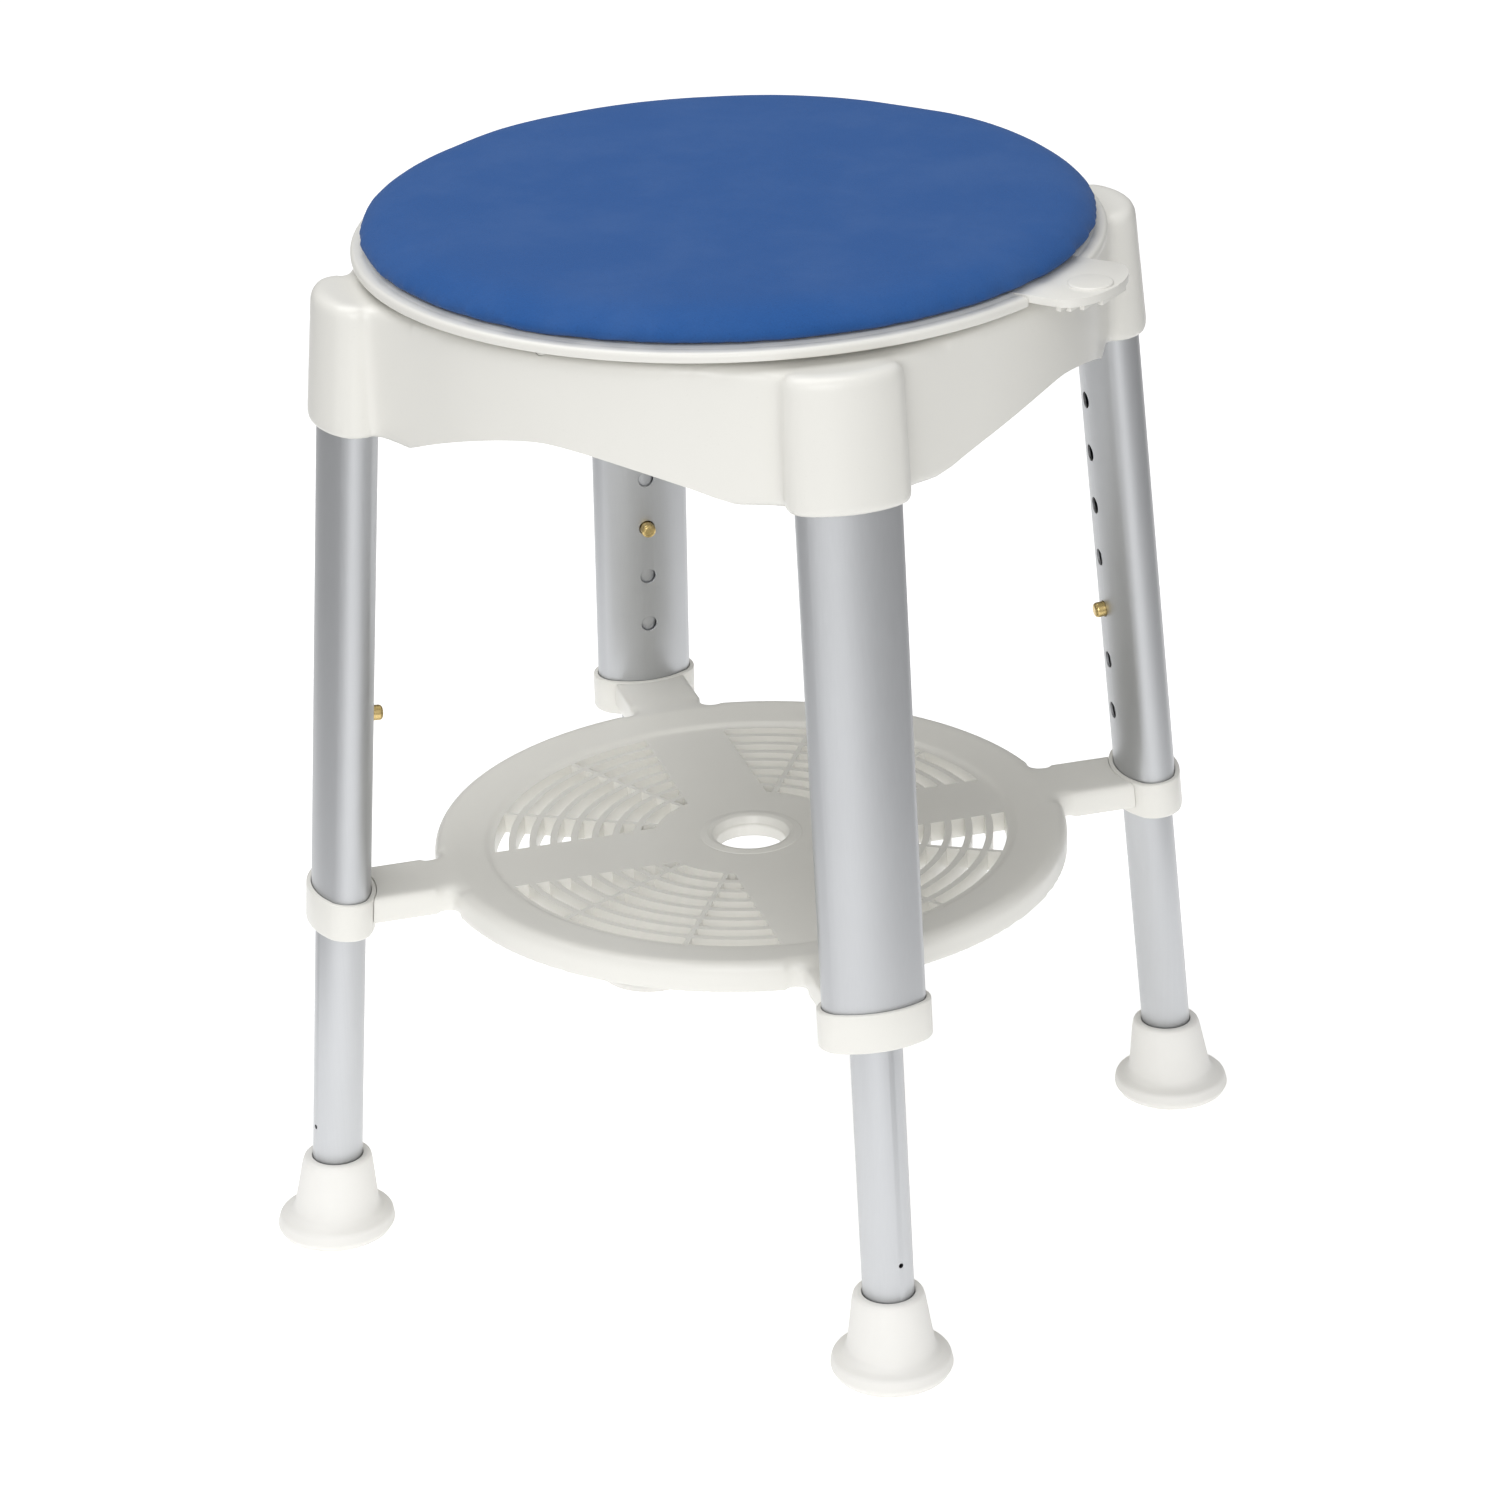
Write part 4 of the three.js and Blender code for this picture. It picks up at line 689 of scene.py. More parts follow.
def puff(pad, most):
    """Lets the pad swell as cloth under pressure, by no more than a cap."""
    rest = [vert.co.copy() for vert in pad.data.vertices]
    cloth = pad.modifiers.new("cloth", "CLOTH")
    cloth.settings.use_pressure = True
    cloth.settings.uniform_pressure_force = 4
    cloth.settings.effector_weights.gravity = 0
    cloth.point_cache.frame_start = 1
    cloth.point_cache.frame_end = 20
    scene = bpy.context.scene
    for step in range(1, 21):
        scene.frame_set(step)
    settle(pad)
    scene.frame_set(1)
    for vert, start in zip(pad.data.vertices, rest):
        moved = vert.co - start
        if moved.length > most:
            vert.co = start + moved.normalized() * most


def rest_flat(pad, floor, sizes):
    """Evens the surface, brings it back to size, and keeps the underside flat on the plate."""
    bm = bmesh.new()
    bm.from_mesh(pad.data)
    for _ in range(8):
        smooth(bm, bm.verts)
    wider = sizes.pad_radius / max(vert.co.xy.length for vert in bm.verts)
    taller = (sizes.pad_top - floor) / (max(vert.co.z for vert in bm.verts) - floor)
    for vert in bm.verts:
        vert.co.xy = vert.co.xy * wider
        vert.co.z = floor + (vert.co.z - floor) * taller
        if vert.co.z < floor + 0.0008:
            vert.co.z = floor
    bm.to_mesh(pad.data)
    bm.free()


class STOOL_OT_pad(bpy.types.Operator):
    """Makes the round foam pad, filled and crowned"""
    bl_idname = "stool.pad"
    bl_label = "Seat pad"

    def execute(self, context):
        pad = build_pad(context.scene.stool_seat)
        present(pad, "pad_skin", finish_named("foam"), "seat", ["seat_pad"], sharp=60)
        return {"FINISHED"}


class STOOL_OT_plate(bpy.types.Operator):
    """Makes the turning plate under the pad, with its rim and the slot for the lock"""
    bl_idname = "stool.plate"
    bl_label = "Seat plate"

    def execute(self, context):
        sizes = context.scene.stool_seat
        top = highest("seat_plate")
        web = top - 2.6 * MM
        rim_top = top - 0.8 * MM
        rim_low = rim_top - sizes.plate_rim
        inner = sizes.plate_radius - 3.1 * MM
        boss = highest("thrust_washer") + 0.3 * MM
        bolt = 4.4 * MM
        plate = solid(spun(rounded([
            (bolt, boss, 0), (22 * MM, boss, 0.6 * MM), (22 * MM, web, 0.8 * MM),
            (inner, web, 1.2 * MM), (inner, rim_low, 0.4 * MM),
            (sizes.plate_radius, rim_low, 0.9 * MM), (sizes.plate_radius, rim_top, 1.9 * MM),
            (156 * MM, rim_top, 0.6 * MM), (154 * MM, top, 0.6 * MM),
            (11 * MM, top, 0.4 * MM), (11 * MM, boss + 3 * MM, 0.4 * MM),
            (bolt, boss + 3 * MM, 0),
        ], steps=4), 180))
        ribs = [
            turned(
                block((21 * MM, -1.2 * MM, web - 4 * MM), (105 * MM, 1.2 * MM, web + MM)),
                lock_matrix() @ Matrix.Rotation(FULL_TURN * (i + 0.5) / 6, 4, "Z"),
            )
            for i in range(6)
        ]
        hoop = spun([
            (60.8 * MM, web - 4 * MM), (63.2 * MM, web - 4 * MM),
            (63.2 * MM, web + MM), (60.8 * MM, web + MM),
        ], 96)
        join(plate, [hoop, *ribs])
        wide = sizes.tab_half_width + 0.5 * MM
        tail = block((114.5 * MM, -8.3 * MM, web - 0.02), (137 * MM, 8.3 * MM, top + 0.01))
        body = block((135.5 * MM, -wide, web - 0.02), (0.17, wide, top + 0.01))
        carve(plate, [turned(tail, lock_matrix()), turned(body, lock_matrix())])
        ease_edges(plate, 0.35 * MM)
        present(plate, "plate_shell", finish_named("white_plastic"), "seat", ["seat_plate"])
        return {"FINISHED"}


class STOOL_OT_tab(bpy.types.Operator):
    """Makes the pull tab that frees the seat, with its thumb disc and finger ribs"""
    bl_idname = "stool.tab"
    bl_label = "Pull tab"

    def execute(self, context):
        sizes = context.scene.stool_seat
        top = highest("lock_guide") + 2.9 * MM
        half = sizes.tab_half_width
        reach = sizes.tab_tip - sizes.tab_shoulder
        nose = [
            Vector((sizes.tab_shoulder + reach * math.cos(t), half * math.sin(t)))
            for t in (math.pi * (step / 40 - 0.5) for step in range(41))
        ]
        plate = [
            Vector((115 * MM, -7.8 * MM)), Vector((136 * MM, -7.8 * MM)),
            Vector((136 * MM, -half)), *nose, Vector((136 * MM, half)),
            Vector((136 * MM, 7.8 * MM)), Vector((115 * MM, 7.8 * MM)),
        ]
        grip = [Vector((157 * MM, -half)), *nose, Vector((157 * MM, half))]
        tab = solid(prism(plate, top - 2.2 * MM, top))
        dog_low = lowest("lock_slider")
        parts = [
            prism(grip, top - sizes.tab_thickness, top),
            block((117.4 * MM, -3.8 * MM, dog_low), (121 * MM, 3.8 * MM, top - MM)),
        ]
        rib_start, rib_pitch, rib_width = 171.5, 3.9, 2 * MM
        for i in range(4):
            x = (rib_start + rib_pitch * i) * MM
            past = max(0.0, x + rib_width - sizes.tab_shoulder) / reach
            wide = (half - MM) * math.sqrt(1 - min(past, 0.95) ** 2)
            low = top - sizes.tab_thickness - 2 * MM
            parts.append(block((x, -wide, low), (x + rib_width, wide, top - MM)))
        join(tab, parts)
        ease_edges(tab, 0.7 * MM, segments=3)
        disc_at = Matrix.Translation((175.2 * MM, -2 * MM, 0))
        disc = spun(rounded([
            (0, top - 0.9 * MM, 0), (sizes.disc_radius, top - 0.9 * MM, 0),
            (sizes.disc_radius, top + 0.9 * MM, 0.8 * MM), (0, top + 0.9 * MM, 0),
        ], closed=False), 64)
        join(tab, [turned(disc, disc_at)])
        tab.data.transform(lock_matrix())
        present(tab, "tab_shell", finish_named("white_plastic"), "lock", ["lock_slider"])
        return {"FINISHED"}


# ---------------------------------------------------------------- base

def arch_cutter(sizes, turn):
    """Cuts one arch out of the skirt. Its edge falls away as a power of the distance."""
    steps = 28
    edge = []
    for step in range(-steps, steps + 1):
        share = abs(step) / steps
        edge.append(Vector((
            sizes.arch_span * step / steps,
            sizes.skirt + sizes.arch_rise * (1 - share ** 1.6),
        )))
    low = sizes.skirt - 0.012
    outline = [Vector((sizes.arch_span, low)), Vector((-sizes.arch_span, low)), *edge]
    bm = prism(outline, 0.07, sizes.radius + 0.012)
    return turned(bm, Matrix.Rotation(turn, 4, "Z") @ Matrix.Rotation(math.pi / 2, 4, "X"))


def socket_solid(legs, leg):
    """A socket of the base, drawn in a little towards its rounded top."""
    low, high = 0.3862, 0.4444
    levels = round_levels(low, high, 3 * MM, 5 * MM)
    drafted = [(s, inset + 0.9 * MM * (s - low) / (high - low)) for s, inset in levels]
    return turned(stacked(oval(legs, 3.9 * MM), drafted), leg_matrix(leg))


def gusset(sizes, leg):
    """The wall that leaves the drum along a tangent and runs into a socket."""
    spread = math.radians(25)
    x, y = sizes.radius * math.cos(spread), sizes.radius * math.sin(spread)
    outline = [
        Vector((x - 0.02, -y + 0.01)), Vector((x, -y)), Vector((sizes.radius / math.cos(spread), 0)),
        Vector((x, y)), Vector((x - 0.02, y - 0.01)),
    ]
    return turned(prism(outline, sizes.skirt, sizes.top - 2.5 * MM), leg_turn(leg))


def across_leg(point, leg):
    """How far a point lies from the leg's own upright plane, and from the seat's axis."""
    foot = Vector(MOUNTS[f"foot_{leg}"]["pos_m"]).normalized()
    along = foot.x * point.x + foot.y * point.y
    return abs(foot.x * point.y - foot.y * point.x), along


def at_socket(sizes, point):
    """True where a socket's wall runs into the drum."""
    radius = math.hypot(point.x, point.y)
    if abs(radius - sizes.radius) > 10 * MM:
        return False
    for leg in LEGS:
        aside, along = across_leg(point, leg)
        if along > 0 and (abs(aside - 34 * MM) < 16 * MM or (aside < 28 * MM and point.z > 0.433)):
            return True
    return False


class STOOL_OT_base(bpy.types.Operator):
    """Makes the moulded base: drum, arched skirt, four sockets, deck, ribs and lock notches"""
    bl_idname = "stool.base"
    bl_label = "Base"

    def execute(self, context):
        sizes = context.scene.stool_base
        legs = context.scene.stool_legs
        base = solid(spun(rounded([
            (0, sizes.skirt, 0), (sizes.radius, sizes.skirt, 0),
            (sizes.radius, sizes.top, sizes.shoulder), (0, sizes.top, 0),
        ], closed=False, steps=10), 240))
        join(base, [gusset(sizes, leg) for leg in LEGS])
        join(base, [socket_solid(legs, leg) for leg in LEGS])
        soften(base, 1.5 * MM, sizes.fillet, lambda point: at_socket(sizes, point), everywhere=3)
        carve(base, [arch_cutter(sizes, side * math.pi / 2) for side in range(4)])
        self.hollow(base, sizes)
        self.furnish(base, sizes)
        bores = [
            turned(prism(oval(legs, 0.3 * MM), 0.37, 0.4368), leg_matrix(leg)) for leg in LEGS
        ]
        holes = [
            turned(cross_rod(2.2 * MM, -0.03, -0.012, 0.42), leg_matrix(leg)) for leg in LEGS
        ]
        carve(base, bores + holes)
        present(base, "base_shell", finish_named("white_plastic"), "root", ["base_frame"])
        return {"FINISHED"}

    def hollow(self, base, sizes):
        """Cuts the seat's recess from above and the hollow from below."""
        deck_low = sizes.deck - sizes.wall
        inner = sizes.radius - sizes.wall
        ledge = sizes.top - sizes.wall
        recess = spun(rounded([
            (0, sizes.deck, 0), (0.146, sizes.deck, 0.8 * MM),
            (0.146, sizes.top + 0.01, 0), (0, sizes.top + 0.01, 0),
        ], closed=False), 240)
        under = spun(rounded([
            (0, sizes.skirt - 0.01, 0), (inner, sizes.skirt - 0.01, 0),
            (inner, ledge, 2.5 * MM), (0.149, ledge, 0.3 * MM),
            (0.149, deck_low, 0.5 * MM), (0, deck_low, 0),
        ], closed=False), 240)
        carve(base, [recess, under])

    def furnish(self, base, sizes):
        """Adds the hub, the ribs and the notched lock ring."""
        deck_low = sizes.deck - sizes.wall
        hub = spun(rounded([
            (4.4 * MM, deck_low - 10 * MM, 0), (22 * MM, deck_low - 10 * MM, 1.2 * MM),
            (22 * MM, sizes.deck + 2 * MM, 0.6 * MM), (4.4 * MM, sizes.deck + 2 * MM, 0),
        ]), 96)
        ring = spun(rounded([
            (110 * MM, sizes.deck - MM, 0), (121 * MM, sizes.deck - MM, 0),
            (121 * MM, sizes.deck + 4.5 * MM, 0.5 * MM),
            (110 * MM, sizes.deck + 4.5 * MM, 0.5 * MM),
        ]), 160)
        ribs = [
            turned(
                block(
                    (21 * MM, -1.2 * MM, deck_low - 10 * MM),
                    (sizes.radius - 1.5 * MM, 1.2 * MM, deck_low + MM),
                ),
                Matrix.Rotation(FULL_TURN * i / BASE_RIBS, 4, "Z"),
            )
            for i in range(BASE_RIBS)
        ]
        join(base, [hub, ring, *ribs])
        notches = [
            turned(
                block(
                    (116.9 * MM, -4.3 * MM, sizes.deck + 0.3 * MM),
                    (127 * MM, 4.3 * MM, sizes.top + 0.01),
                ),
                lock_matrix() @ Matrix.Rotation(FULL_TURN * i / LOCK_POSITIONS, 4, "Z"),
            )
            for i in range(LOCK_POSITIONS)
        ]
        pockets = [
            turned(
                rod(3.7 * MM, sizes.top - 1.9 * MM, sizes.top + 0.01),
                Matrix.Rotation(FULL_TURN * i / 4, 4, "Z") @ Matrix.Translation((0.1524, 0, 0)),
            )
            for i in range(4)
        ]
        bore = rod(4.4 * MM, 0.40, 0.46, 48)
        carve(base, [bore, *notches, *pockets])


# ---------------------------------------------------------------- legs

class STOOL_OT_upper_legs(bpy.types.Operator):
    """Makes the four oval tubes with their rows of button holes"""
    bl_idname = "stool.upper_legs"
    bl_label = "Upper legs"

    def execute(self, context):
        sizes = context.scene.stool_legs
        for leg in LEGS:
            tube = solid(prism(oval(sizes), 0.155, 0.4365))
            cutters = [prism(oval(sizes, -sizes.wall), 0.15, 0.44)]
            for step in range(-2, 5):
                at = sizes.button_up + step * sizes.hole_pitch
                cutters.append(cross_rod(sizes.hole_radius, -0.02, -0.006, at))
            cutters.append(cross_rod(2.2 * MM, -0.02, -0.006, 0.42))
            carve(tube, cutters)
            ease_edges(tube, 0.15 * MM, angle=60, segments=1)
            tube.data.transform(leg_matrix(leg))
            present(tube, f"oval_tube_{leg}", finish_named("tube_aluminium"), "root",
                    [f"upper_leg_{leg}"], sharp=22)
        return {"FINISHED"}


class STOOL_OT_lower_legs(bpy.types.Operator):
    """Makes the four round sliding tubes, each with its drain hole"""
    bl_idname = "stool.lower_legs"
    bl_label = "Lower legs"

    def execute(self, context):
        sizes = context.scene.stool_legs
        outer = sizes.round_diameter / 2
        inner = outer - sizes.wall
        for leg in LEGS:
            tube = solid(spun(rounded([
                (inner, 0.007, 0.3 * MM), (outer, 0.007, 0.4 * MM),
                (outer, 0.285, 0.4 * MM), (inner, 0.285, 0.3 * MM),
            ], steps=2), 72))
            drain = turned(
                cross_rod(1.1 * MM, 0.004, 0.02, 0.0525),
                Matrix.Rotation(math.radians(16), 4, "Z"),
            )
            carve(tube, [cross_rod(sizes.hole_radius, -0.02, -0.004, sizes.button_up), drain])
            tube.data.transform(leg_matrix(leg))
            present(tube, f"round_tube_{leg}", finish_named("tube_aluminium"),
                    f"lower_leg_{leg}", [f"lower_leg_{leg}"])
        return {"FINISHED"}


class STOOL_OT_buttons(bpy.types.Operator):
    """Makes the four brass snap buttons"""
    bl_idname = "stool.buttons"
    bl_label = "Snap buttons"

    def execute(self, context):
        sizes = context.scene.stool_legs
        for leg in LEGS:
            reach = 8.1 * MM
            button = solid(spun(rounded([
                (0, 0, 0), (3.45 * MM, 0, 0.2 * MM), (3.45 * MM, reach, 3.3 * MM), (0, reach, 0),
            ], closed=False, steps=10), 48))
            at = Matrix.Translation((-9.2 * MM, 0, sizes.button_up))
            button.data.transform(leg_matrix(leg) @ at @ Matrix.Rotation(-math.pi / 2, 4, "Y"))
            present(button, f"brass_button_{leg}", finish_named("button_brass"), f"button_{leg}",
                    [f"snap_button_{leg}"])
        return {"FINISHED"}


class STOOL_OT_feet(bpy.types.Operator):
    """Makes the four flared rubber feet, which stand flat while their cups lean"""
    bl_idname = "stool.feet"
    bl_label = "Rubber feet"

    def execute(self, context):
        for leg in LEGS:
            foot = solid(spun(rounded([
                (0, 0, 0), (24.6 * MM, 0, 0.8 * MM), (26.6 * MM, 3.2 * MM, 2.2 * MM),
                (25.6 * MM, 7.9 * MM, 2.4 * MM), (19.4 * MM, 9.6 * MM, 4.5 * MM),
                (15.9 * MM, 33.4 * MM, 9 * MM), (14.9 * MM, 37 * MM, 2.1 * MM),
                (11.5 * MM, 36.8 * MM, 0.5 * MM), (11.5 * MM, 5 * MM, 0), (0, 5 * MM, 0),
            ], closed=False, steps=7), 96))
            slope = lean_slope(leg)
            shear = Matrix.Identity(4)
            shear[0][2] = -slope
            foot.data.transform(stance_matrix(leg) @ shear)
            present(foot, f"rubber_foot_{leg}", finish_named("foot_rubber"), f"lower_leg_{leg}",
                    [f"foot_{leg}"], sharp=50)
        return {"FINISHED"}


class STOOL_OT_collars(bpy.types.Operator):
    """Makes the four collars that close the oval tubes"""
    bl_idname = "stool.collars"
    bl_label = "Collars"

    def execute(self, context):
        sizes = context.scene.stool_legs
        low, high = 0.1527, 0.1702
        for leg in LEGS:
            collar = solid(stacked(
                oval(sizes, 2.3 * MM), round_levels(low, high, 1.6 * MM, 0.8 * MM, 4)
            ))
            carve(collar, [prism(oval(sizes, 0.3 * MM), low + 2 * MM, high + 0.01)])
            join(collar, [prism(oval(sizes, -1.5 * MM), low + MM, low + 14 * MM)])
            carve(collar, [
                rod(11.5 * MM, low - 0.01, high + 0.01, 64),
                block((-0.03, -6.3 * MM, low + 4.9 * MM), (-0.0138, 6.3 * MM, low + 12.6 * MM)),
            ])
            ease_edges(collar, 0.2 * MM, angle=50, segments=1)
            collar.data.transform(leg_matrix(leg))
            present(collar, f"collar_shell_{leg}", finish_named("white_plastic"), "root",
                    [f"leg_collar_{leg}"])
        return {"FINISHED"}


# ---------------------------------------------------------------- shelf

def slot_cutter(sizes, row, bar, beyond):
    """A curved slot between two bars, each (angle, half width)."""
    outer = sizes.grille_radius - row * sizes.slot_pitch
    inner = outer - sizes.slot_width

    def clear(edge, radius, side):
        return edge[0] + side * math.asin(edge[1] / radius)

    steps = 8
    points = arc((0, 0), outer, clear(bar, outer, 1), clear(beyond, outer, -1), steps)
    points += arc((0, 0), inner, clear(beyond, inner, -1), clear(bar, inner, 1), steps)
    return prism(points, sizes.bottom - 0.01, sizes.rim_top + 0.01)


def arm_reach(leg, height):
    """Distance of a leg's middle from the seat's axis at a height."""
    foot = Vector(MOUNTS[f"foot_{leg}"]["pos_m"])
    return foot.length - height * lean_slope(leg)


class STOOL_OT_shelf(bpy.types.Operator):
    """Makes the drainage shelf: rim, four arms, spokes, slotted grille and the middle hole"""
    bl_idname = "stool.shelf"
    bl_label = "Shelf"

    def execute(self, context):
        sizes = context.scene.stool_shelf
        legs = context.scene.stool_legs
        turns = {leg: leg_bearing(leg) for leg in LEGS}
        shelf = solid(spun(rounded([
            (0, sizes.bottom, 0), (sizes.radius, sizes.bottom, 0.6 * MM),
            (sizes.radius, sizes.rim_top - 0.2 * MM, 4.5 * MM),
            (sizes.grille_radius + 4 * MM, sizes.grille_top + 1.6 * MM, 1.2 * MM),
            (sizes.grille_radius + 2.6 * MM, sizes.grille_top, 0.8 * MM),
            (0, sizes.grille_top, 0),
        ], closed=False, steps=6), 240))
        arms = []
        for leg in LEGS:
            end = arm_reach(leg, 0.165)
            half = sizes.arm / 2
            profile = rounded([
                (-half, sizes.bottom, MM), (half, sizes.bottom, MM),
                (half, ARM_TOP, 1.6 * MM), (-half, ARM_TOP, 1.6 * MM),
            ], steps=4)
            arm = prism(profile, sizes.radius - 7 * MM, end)
            stand = Matrix(((0, 0, 1, 0), (1, 0, 0, 0), (0, 1, 0, 0), (0, 0, 0, 1)))
            arms.append(turned(arm, Matrix.Rotation(turns[leg], 4, "Z") @ stand))
        join(shelf, arms)

        def at_arm(point):
            radius = math.hypot(point.x, point.y)
            beside = min(across_leg(point, leg)[0] for leg in LEGS)
            return abs(radius - sizes.radius) < 7 * MM and beside < sizes.arm / 2 + 7 * MM

        soften(shelf, 1.3 * MM, 22, at_arm, everywhere=2)
        self.hollow(shelf, sizes, legs, turns)
        self.cut_grille(shelf, sizes, turns)
        present(shelf, "shelf_shell", finish_named("white_plastic"), "root", ["shelf"])
        return {"FINISHED"}

    def hollow(self, shelf, sizes, legs, turns):
        """Shells the rim, the spokes and the arms from below, and clears the collars."""
        wall = 2.6 * MM
        top = sizes.grille_top
        hub = sizes.grille_radius - 8 * sizes.slot_pitch
        tools = [spun(rounded([
            (sizes.grille_radius + 2.6 * MM, sizes.bottom - 0.01, 0),
            (sizes.radius - wall, sizes.bottom - 0.01, 0),
            (sizes.radius - wall, sizes.rim_top - wall - 1.4 * MM, 3 * MM),
            (sizes.grille_radius + 2.6 * MM, top - wall, 1 * MM),
        ]), 160)]
        tools.append(spun(rounded([
            (18.4 * MM, sizes.bottom - 0.01, 0), (hub - wall, sizes.bottom - 0.01, 0),
            (hub - wall, top - wall, MM), (19.2 * MM, top - wall, MM),
        ]), 96))
        for leg in LEGS:
            turn = Matrix.Rotation(turns[leg], 4, "Z")
            half = sizes.spoke / 2 - wall
            tools.append(turned(block(
                (hub + wall, -half, sizes.bottom - 0.01),
                (sizes.grille_radius - wall, half, top - wall),
            ), turn))
            collar = oval(legs, 2.6 * MM)
            tools.append(turned(prism(collar, 0.14, 0.18), leg_matrix(leg)))
        carve(shelf, tools)
        arms = []
        tongues = []
        for leg in LEGS:
            turn = Matrix.Rotation(turns[leg], 4, "Z")
            half = sizes.arm / 2 - wall
            arms.append(turned(block(
                (sizes.radius - wall - 0.5 * MM, -half, sizes.bottom - 0.01),
                (arm_reach(leg, 0.156) - 20.2 * MM, half, ARM_TOP - wall),
            ), turn))
            tongue = block((-19 * MM, -6 * MM, 0.15795), (-13.9 * MM, 6 * MM, 0.16495))
            tongues.append(turned(tongue, leg_matrix(leg)))
        carve(shelf, arms)
        join(shelf, tongues)

    def cut_grille(self, shelf, sizes, turns):
        """Cuts the curved slots and the flared middle hole."""
        first = min(turns.values())
        bars = []
        for i in range(12):
            half = sizes.spoke / 2 if i % 3 == 0 else sizes.rib / 2
            bars.append((first + i * math.pi / 6, half))
        bars.append((bars[0][0] + FULL_TURN, bars[0][1]))
        slots = [
            slot_cutter(sizes, row, bars[i], bars[i + 1]) for row in range(8) for i in range(12)
        ]
        mouth = spun(rounded([
            (0, sizes.bottom - 0.01, 0), (15.6 * MM, sizes.bottom - 0.01, 0),
            (15.6 * MM, sizes.grille_top - 4 * MM, 2 * MM),
            (19.4 * MM, sizes.grille_top + 0.5 * MM, 0),
            (19.4 * MM, sizes.grille_top + 0.01, 0), (0, sizes.grille_top + 0.01, 0),
        ], closed=False), 96)
        lip = spun(rounded([
            (15.8 * MM, sizes.grille_top - 3 * MM, 0), (24 * MM, sizes.grille_top - MM, 0),
            (23 * MM, sizes.grille_top + 0.2 * MM, MM),
            (19.6 * MM, sizes.grille_top + 0.6 * MM, 0.9 * MM),
            (17.4 * MM, sizes.grille_top + 0.2 * MM, MM),
        ]), 96)
        carve(shelf, [merged(slots), mouth])
        join(shelf, [lip])


def merged(parts):
    """Puts several meshes that don't touch into one."""
    whole = bmesh.new()
    for bm in parts:
        mesh = bpy.data.meshes.new("part")
        bm.to_mesh(mesh)
        bm.free()
        whole.from_mesh(mesh)
        bpy.data.meshes.remove(mesh)
    return whole


# ---------------------------------------------------------------- everything that the frame keeps

class STOOL_OT_hardware(bpy.types.Operator):
    """Gives the bolts, washers, plugs, springs and glides of the frame their finishes"""
    bl_idname = "stool.hardware"
    bl_label = "Hardware finishes"

    def execute(self, context):
        for part in RECORD["subparts"]:
            thing = frame["nodes"][part["node"]]
            thing.data.materials.clear()
            thing.data.materials.append(finish_named(part["material_slot"]))
        return {"FINISHED"}


# ---------------------------------------------------------------- stage

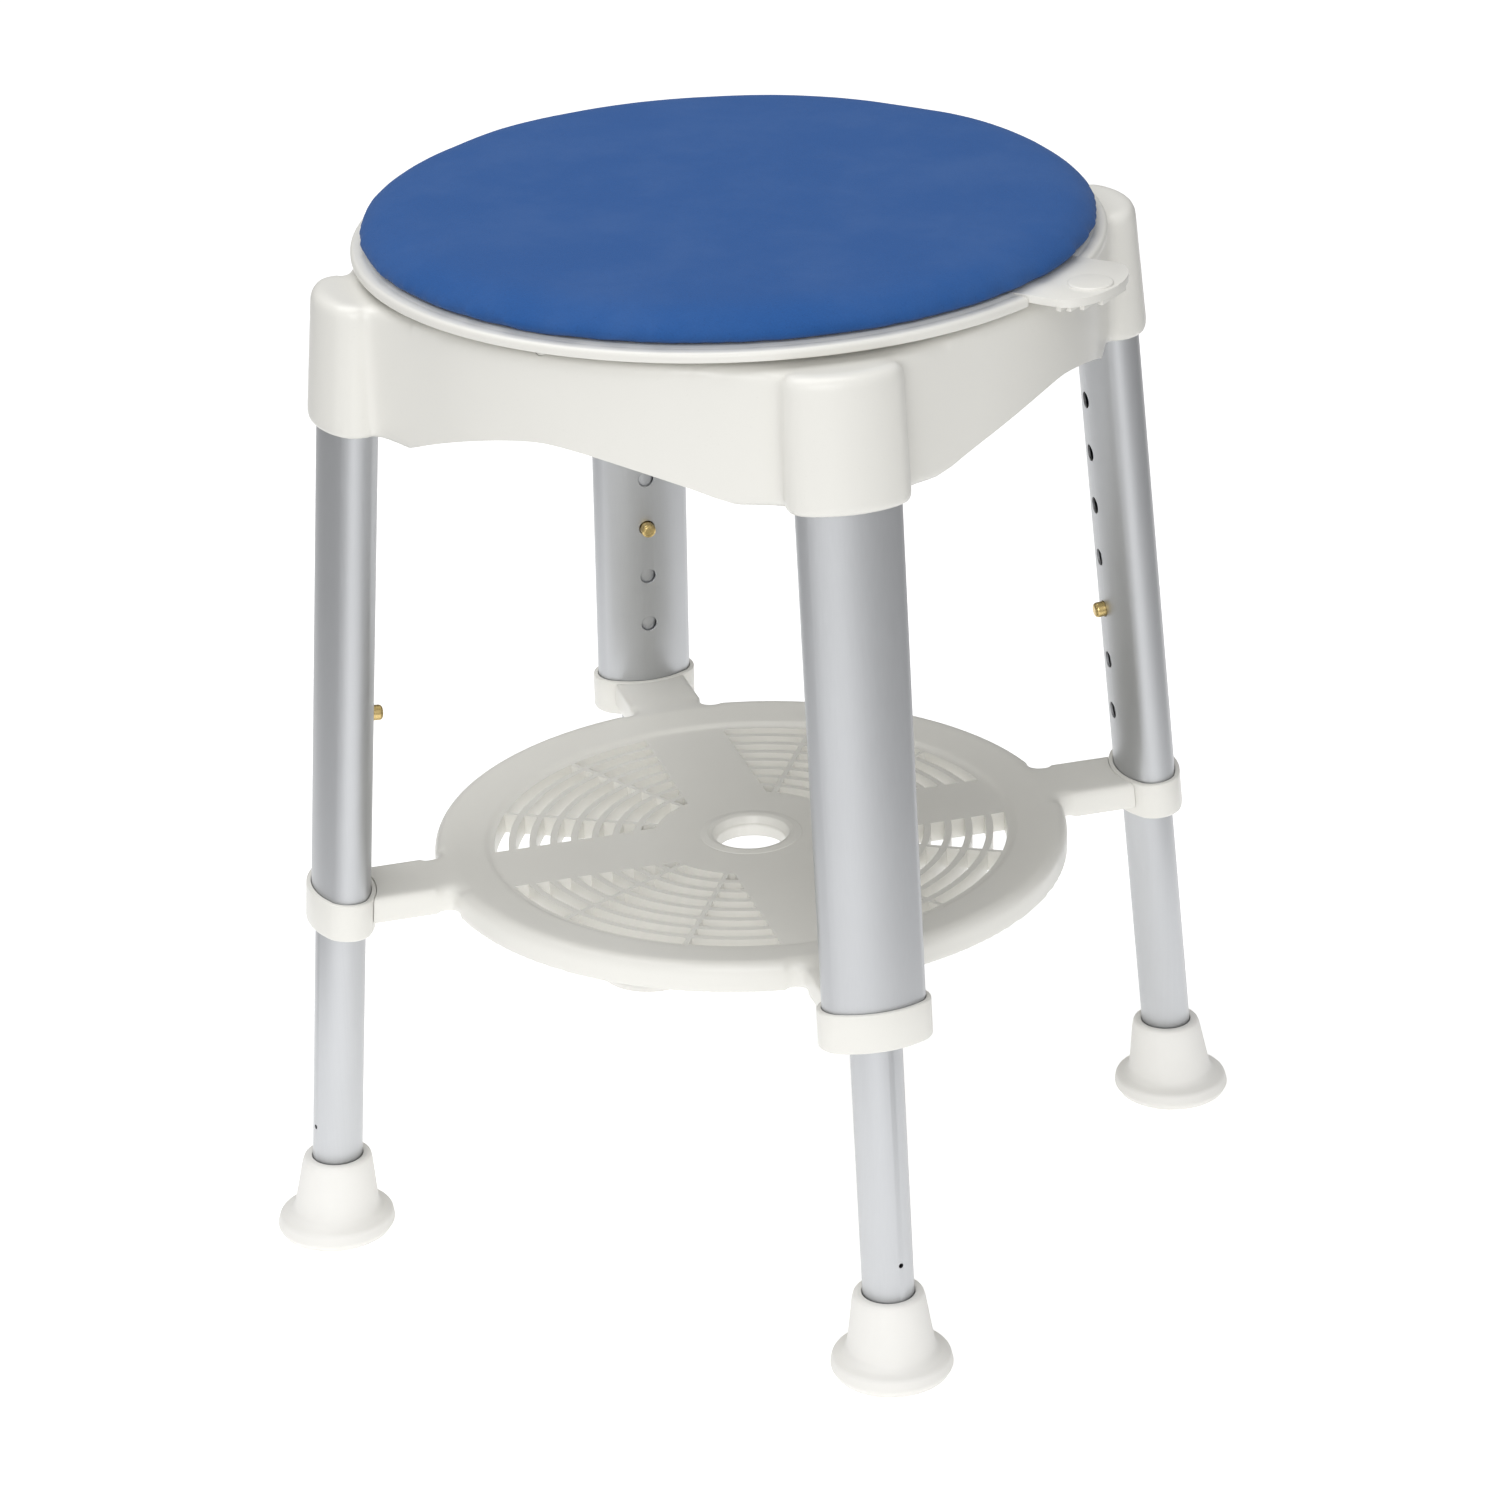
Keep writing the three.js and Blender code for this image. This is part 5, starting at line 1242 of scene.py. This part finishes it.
class STOOL_OT_stage(bpy.types.Operator):
    """Sets the pale floor, the soft lights and the camera"""
    bl_idname = "stool.stage"
    bl_label = "Stage"

    def execute(self, context):
        settings = context.scene.stool_stage
        self.floor(context.scene.stool_finishes, settings)
        self.light("key", (1.2, -2.5, settings.key_height), 2.0, settings.key)
        self.light("top", (-0.6, -0.2, 2.5), 2.4, settings.overhead)
        self.sky(settings)
        self.camera(context.scene, settings)
        context.scene.view_settings.view_transform = "Standard"
        return {"FINISHED"}

    def floor(self, tints, settings):
        bm = bmesh.new()
        bmesh.ops.create_grid(bm, x_segments=8, y_segments=8, size=9)
        floor = solid(bm, "studio_floor")
        finish = Finish(
            "studio_floor", Roughness=0.9, Specular_IOR_Level=0.1,
            Emission_Strength=settings.floor_glow,
        )
        # Painted light and shade on the floor: a bright strip along the camera's bearing, painted darker grey
        # towards the sides as shade.
        bearing = settings.bearing
        aside = finish.along((math.cos(bearing), math.sin(bearing), 0))
        away = finish.along((-math.sin(bearing), math.cos(bearing), 0))
        edge = aside.sum("ABSOLUTE", aside, 0.0) - away * 0.15
        painted_shade_share = finish.ramp(edge, settings.painted_light_half_width, settings.painted_light_half_width + 0.30)
        body = finish.mix(finish.noise(0.8), shade(tints.floor, 0.995), tints.floor)
        finish.colour(finish.mix(painted_shade_share, body, shade(tints.floor, 0.6)))
        # Painted light: the floor glows fully in the strip and at a tenth of that towards the sides.
        finish.set(finish.shader, "Emission Color", finish.mix(painted_shade_share, (1, 1, 1), (0.1, 0.1, 0.1)))
        floor.data.materials.append(finish.material)

    def light(self, name, place, size, power):
        lamp = bpy.data.lights.new(name, "AREA")
        lamp.shape = "DISK"
        lamp.size = size
        lamp.energy = power
        thing = bpy.data.objects.new(name, lamp)
        bpy.context.scene.collection.objects.link(thing)
        thing.location = place
        aim = Vector((0, 0, 0.25)) - Vector(place)
        thing.rotation_euler = aim.to_track_quat("-Z", "Y").to_euler()

    def sky(self, settings):
        """A wide soft light round the camera's side of the studio, and dimmer walls."""
        world = bpy.data.worlds.new("studio")
        world.use_nodes = True
        tree = world.node_tree
        front = Vector((math.sin(settings.bearing), -math.cos(settings.bearing), 0.45))
        look = tree.nodes.new("ShaderNodeTexCoord")
        facing = tree.nodes.new("ShaderNodeVectorMath")
        facing.operation = "DOT_PRODUCT"
        facing.inputs[1].default_value = front.normalized()
        spread = tree.nodes.new("ShaderNodeMapRange")
        spread.interpolation_type = "SMOOTHSTEP"
        spread.inputs["From Min"].default_value = settings.lobe_edge
        spread.inputs["From Max"].default_value = 1
        spread.inputs["To Min"].default_value = settings.wall_light
        spread.inputs["To Max"].default_value = settings.front_light
        tree.links.new(look.outputs["Generated"], facing.inputs[0])
        tree.links.new(facing.outputs["Value"], spread.inputs["Value"])
        tree.links.new(spread.outputs["Result"], tree.nodes["Background"].inputs["Strength"])
        tree.nodes["Background"].inputs["Color"].default_value = (1, 1, 1, 1)
        bpy.context.scene.world = world

    def camera(self, scene, settings):
        bearing, tilt = settings.bearing, settings.tilt
        aim = bearing + settings.pan
        ahead = Vector((
            -math.sin(aim) * math.cos(tilt), math.cos(aim) * math.cos(tilt), -math.sin(tilt)
        ))
        right = Vector((math.cos(aim), math.sin(aim), 0))
        up = right.cross(ahead)
        roll = settings.roll
        side = right * math.cos(roll) + up * math.sin(roll)
        over = up * math.cos(roll) - right * math.sin(roll)
        place = Vector((
            settings.distance * math.sin(bearing),
            -settings.distance * math.cos(bearing),
            settings.height,
        ))
        view = bpy.data.cameras.new("view")
        view.sensor_width = 36
        view.lens = settings.lens
        thing = bpy.data.objects.new("view", view)
        scene.collection.objects.link(thing)
        turn = Matrix((side, over, -ahead)).transposed().to_4x4()
        thing.matrix_world = Matrix.Translation(place) @ turn
        scene.camera = thing


# ---------------------------------------------------------------- panel and registration

STEPS = (
    STOOL_OT_stage, STOOL_OT_hardware, STOOL_OT_base, STOOL_OT_shelf, STOOL_OT_upper_legs,
    STOOL_OT_collars, STOOL_OT_lower_legs, STOOL_OT_feet, STOOL_OT_buttons, STOOL_OT_plate,
    STOOL_OT_tab, STOOL_OT_pad,
)
GROUPS = {
    "stool_seat": SeatSizes,
    "stool_base": BaseSizes,
    "stool_legs": LegSizes,
    "stool_shelf": ShelfSizes,
    "stool_finishes": Finishes,
    "stool_stage": StageSettings,
}


class STOOL_PT_panel(bpy.types.Panel):
    """Lists the pieces of the stool"""
    bl_idname = "STOOL_PT_panel"
    bl_label = "Shower Stool"
    bl_space_type = "VIEW_3D"
    bl_region_type = "UI"
    bl_category = "Stool"

    def draw(self, context):
        for step in STEPS:
            self.layout.operator(step.bl_idname)
        for name, group in GROUPS.items():
            box = self.layout.box()
            for key in group.__annotations__:
                box.prop(getattr(context.scene, name), key)


def register():
    for group in GROUPS.values():
        bpy.utils.register_class(group)
    for name, group in GROUPS.items():
        setattr(bpy.types.Scene, name, PointerProperty(type=group))
    for step in STEPS:
        bpy.utils.register_class(step)
    bpy.utils.register_class(STOOL_PT_panel)


def unregister():
    bpy.utils.unregister_class(STOOL_PT_panel)
    for step in reversed(STEPS):
        bpy.utils.unregister_class(step)
    for name in GROUPS:
        delattr(bpy.types.Scene, name)
    for group in reversed(GROUPS.values()):
        bpy.utils.unregister_class(group)


def main():
    register()
    for step in STEPS:
        getattr(bpy.ops.stool, step.bl_idname.split(".")[1])()


if __name__ == "__main__":
    main()
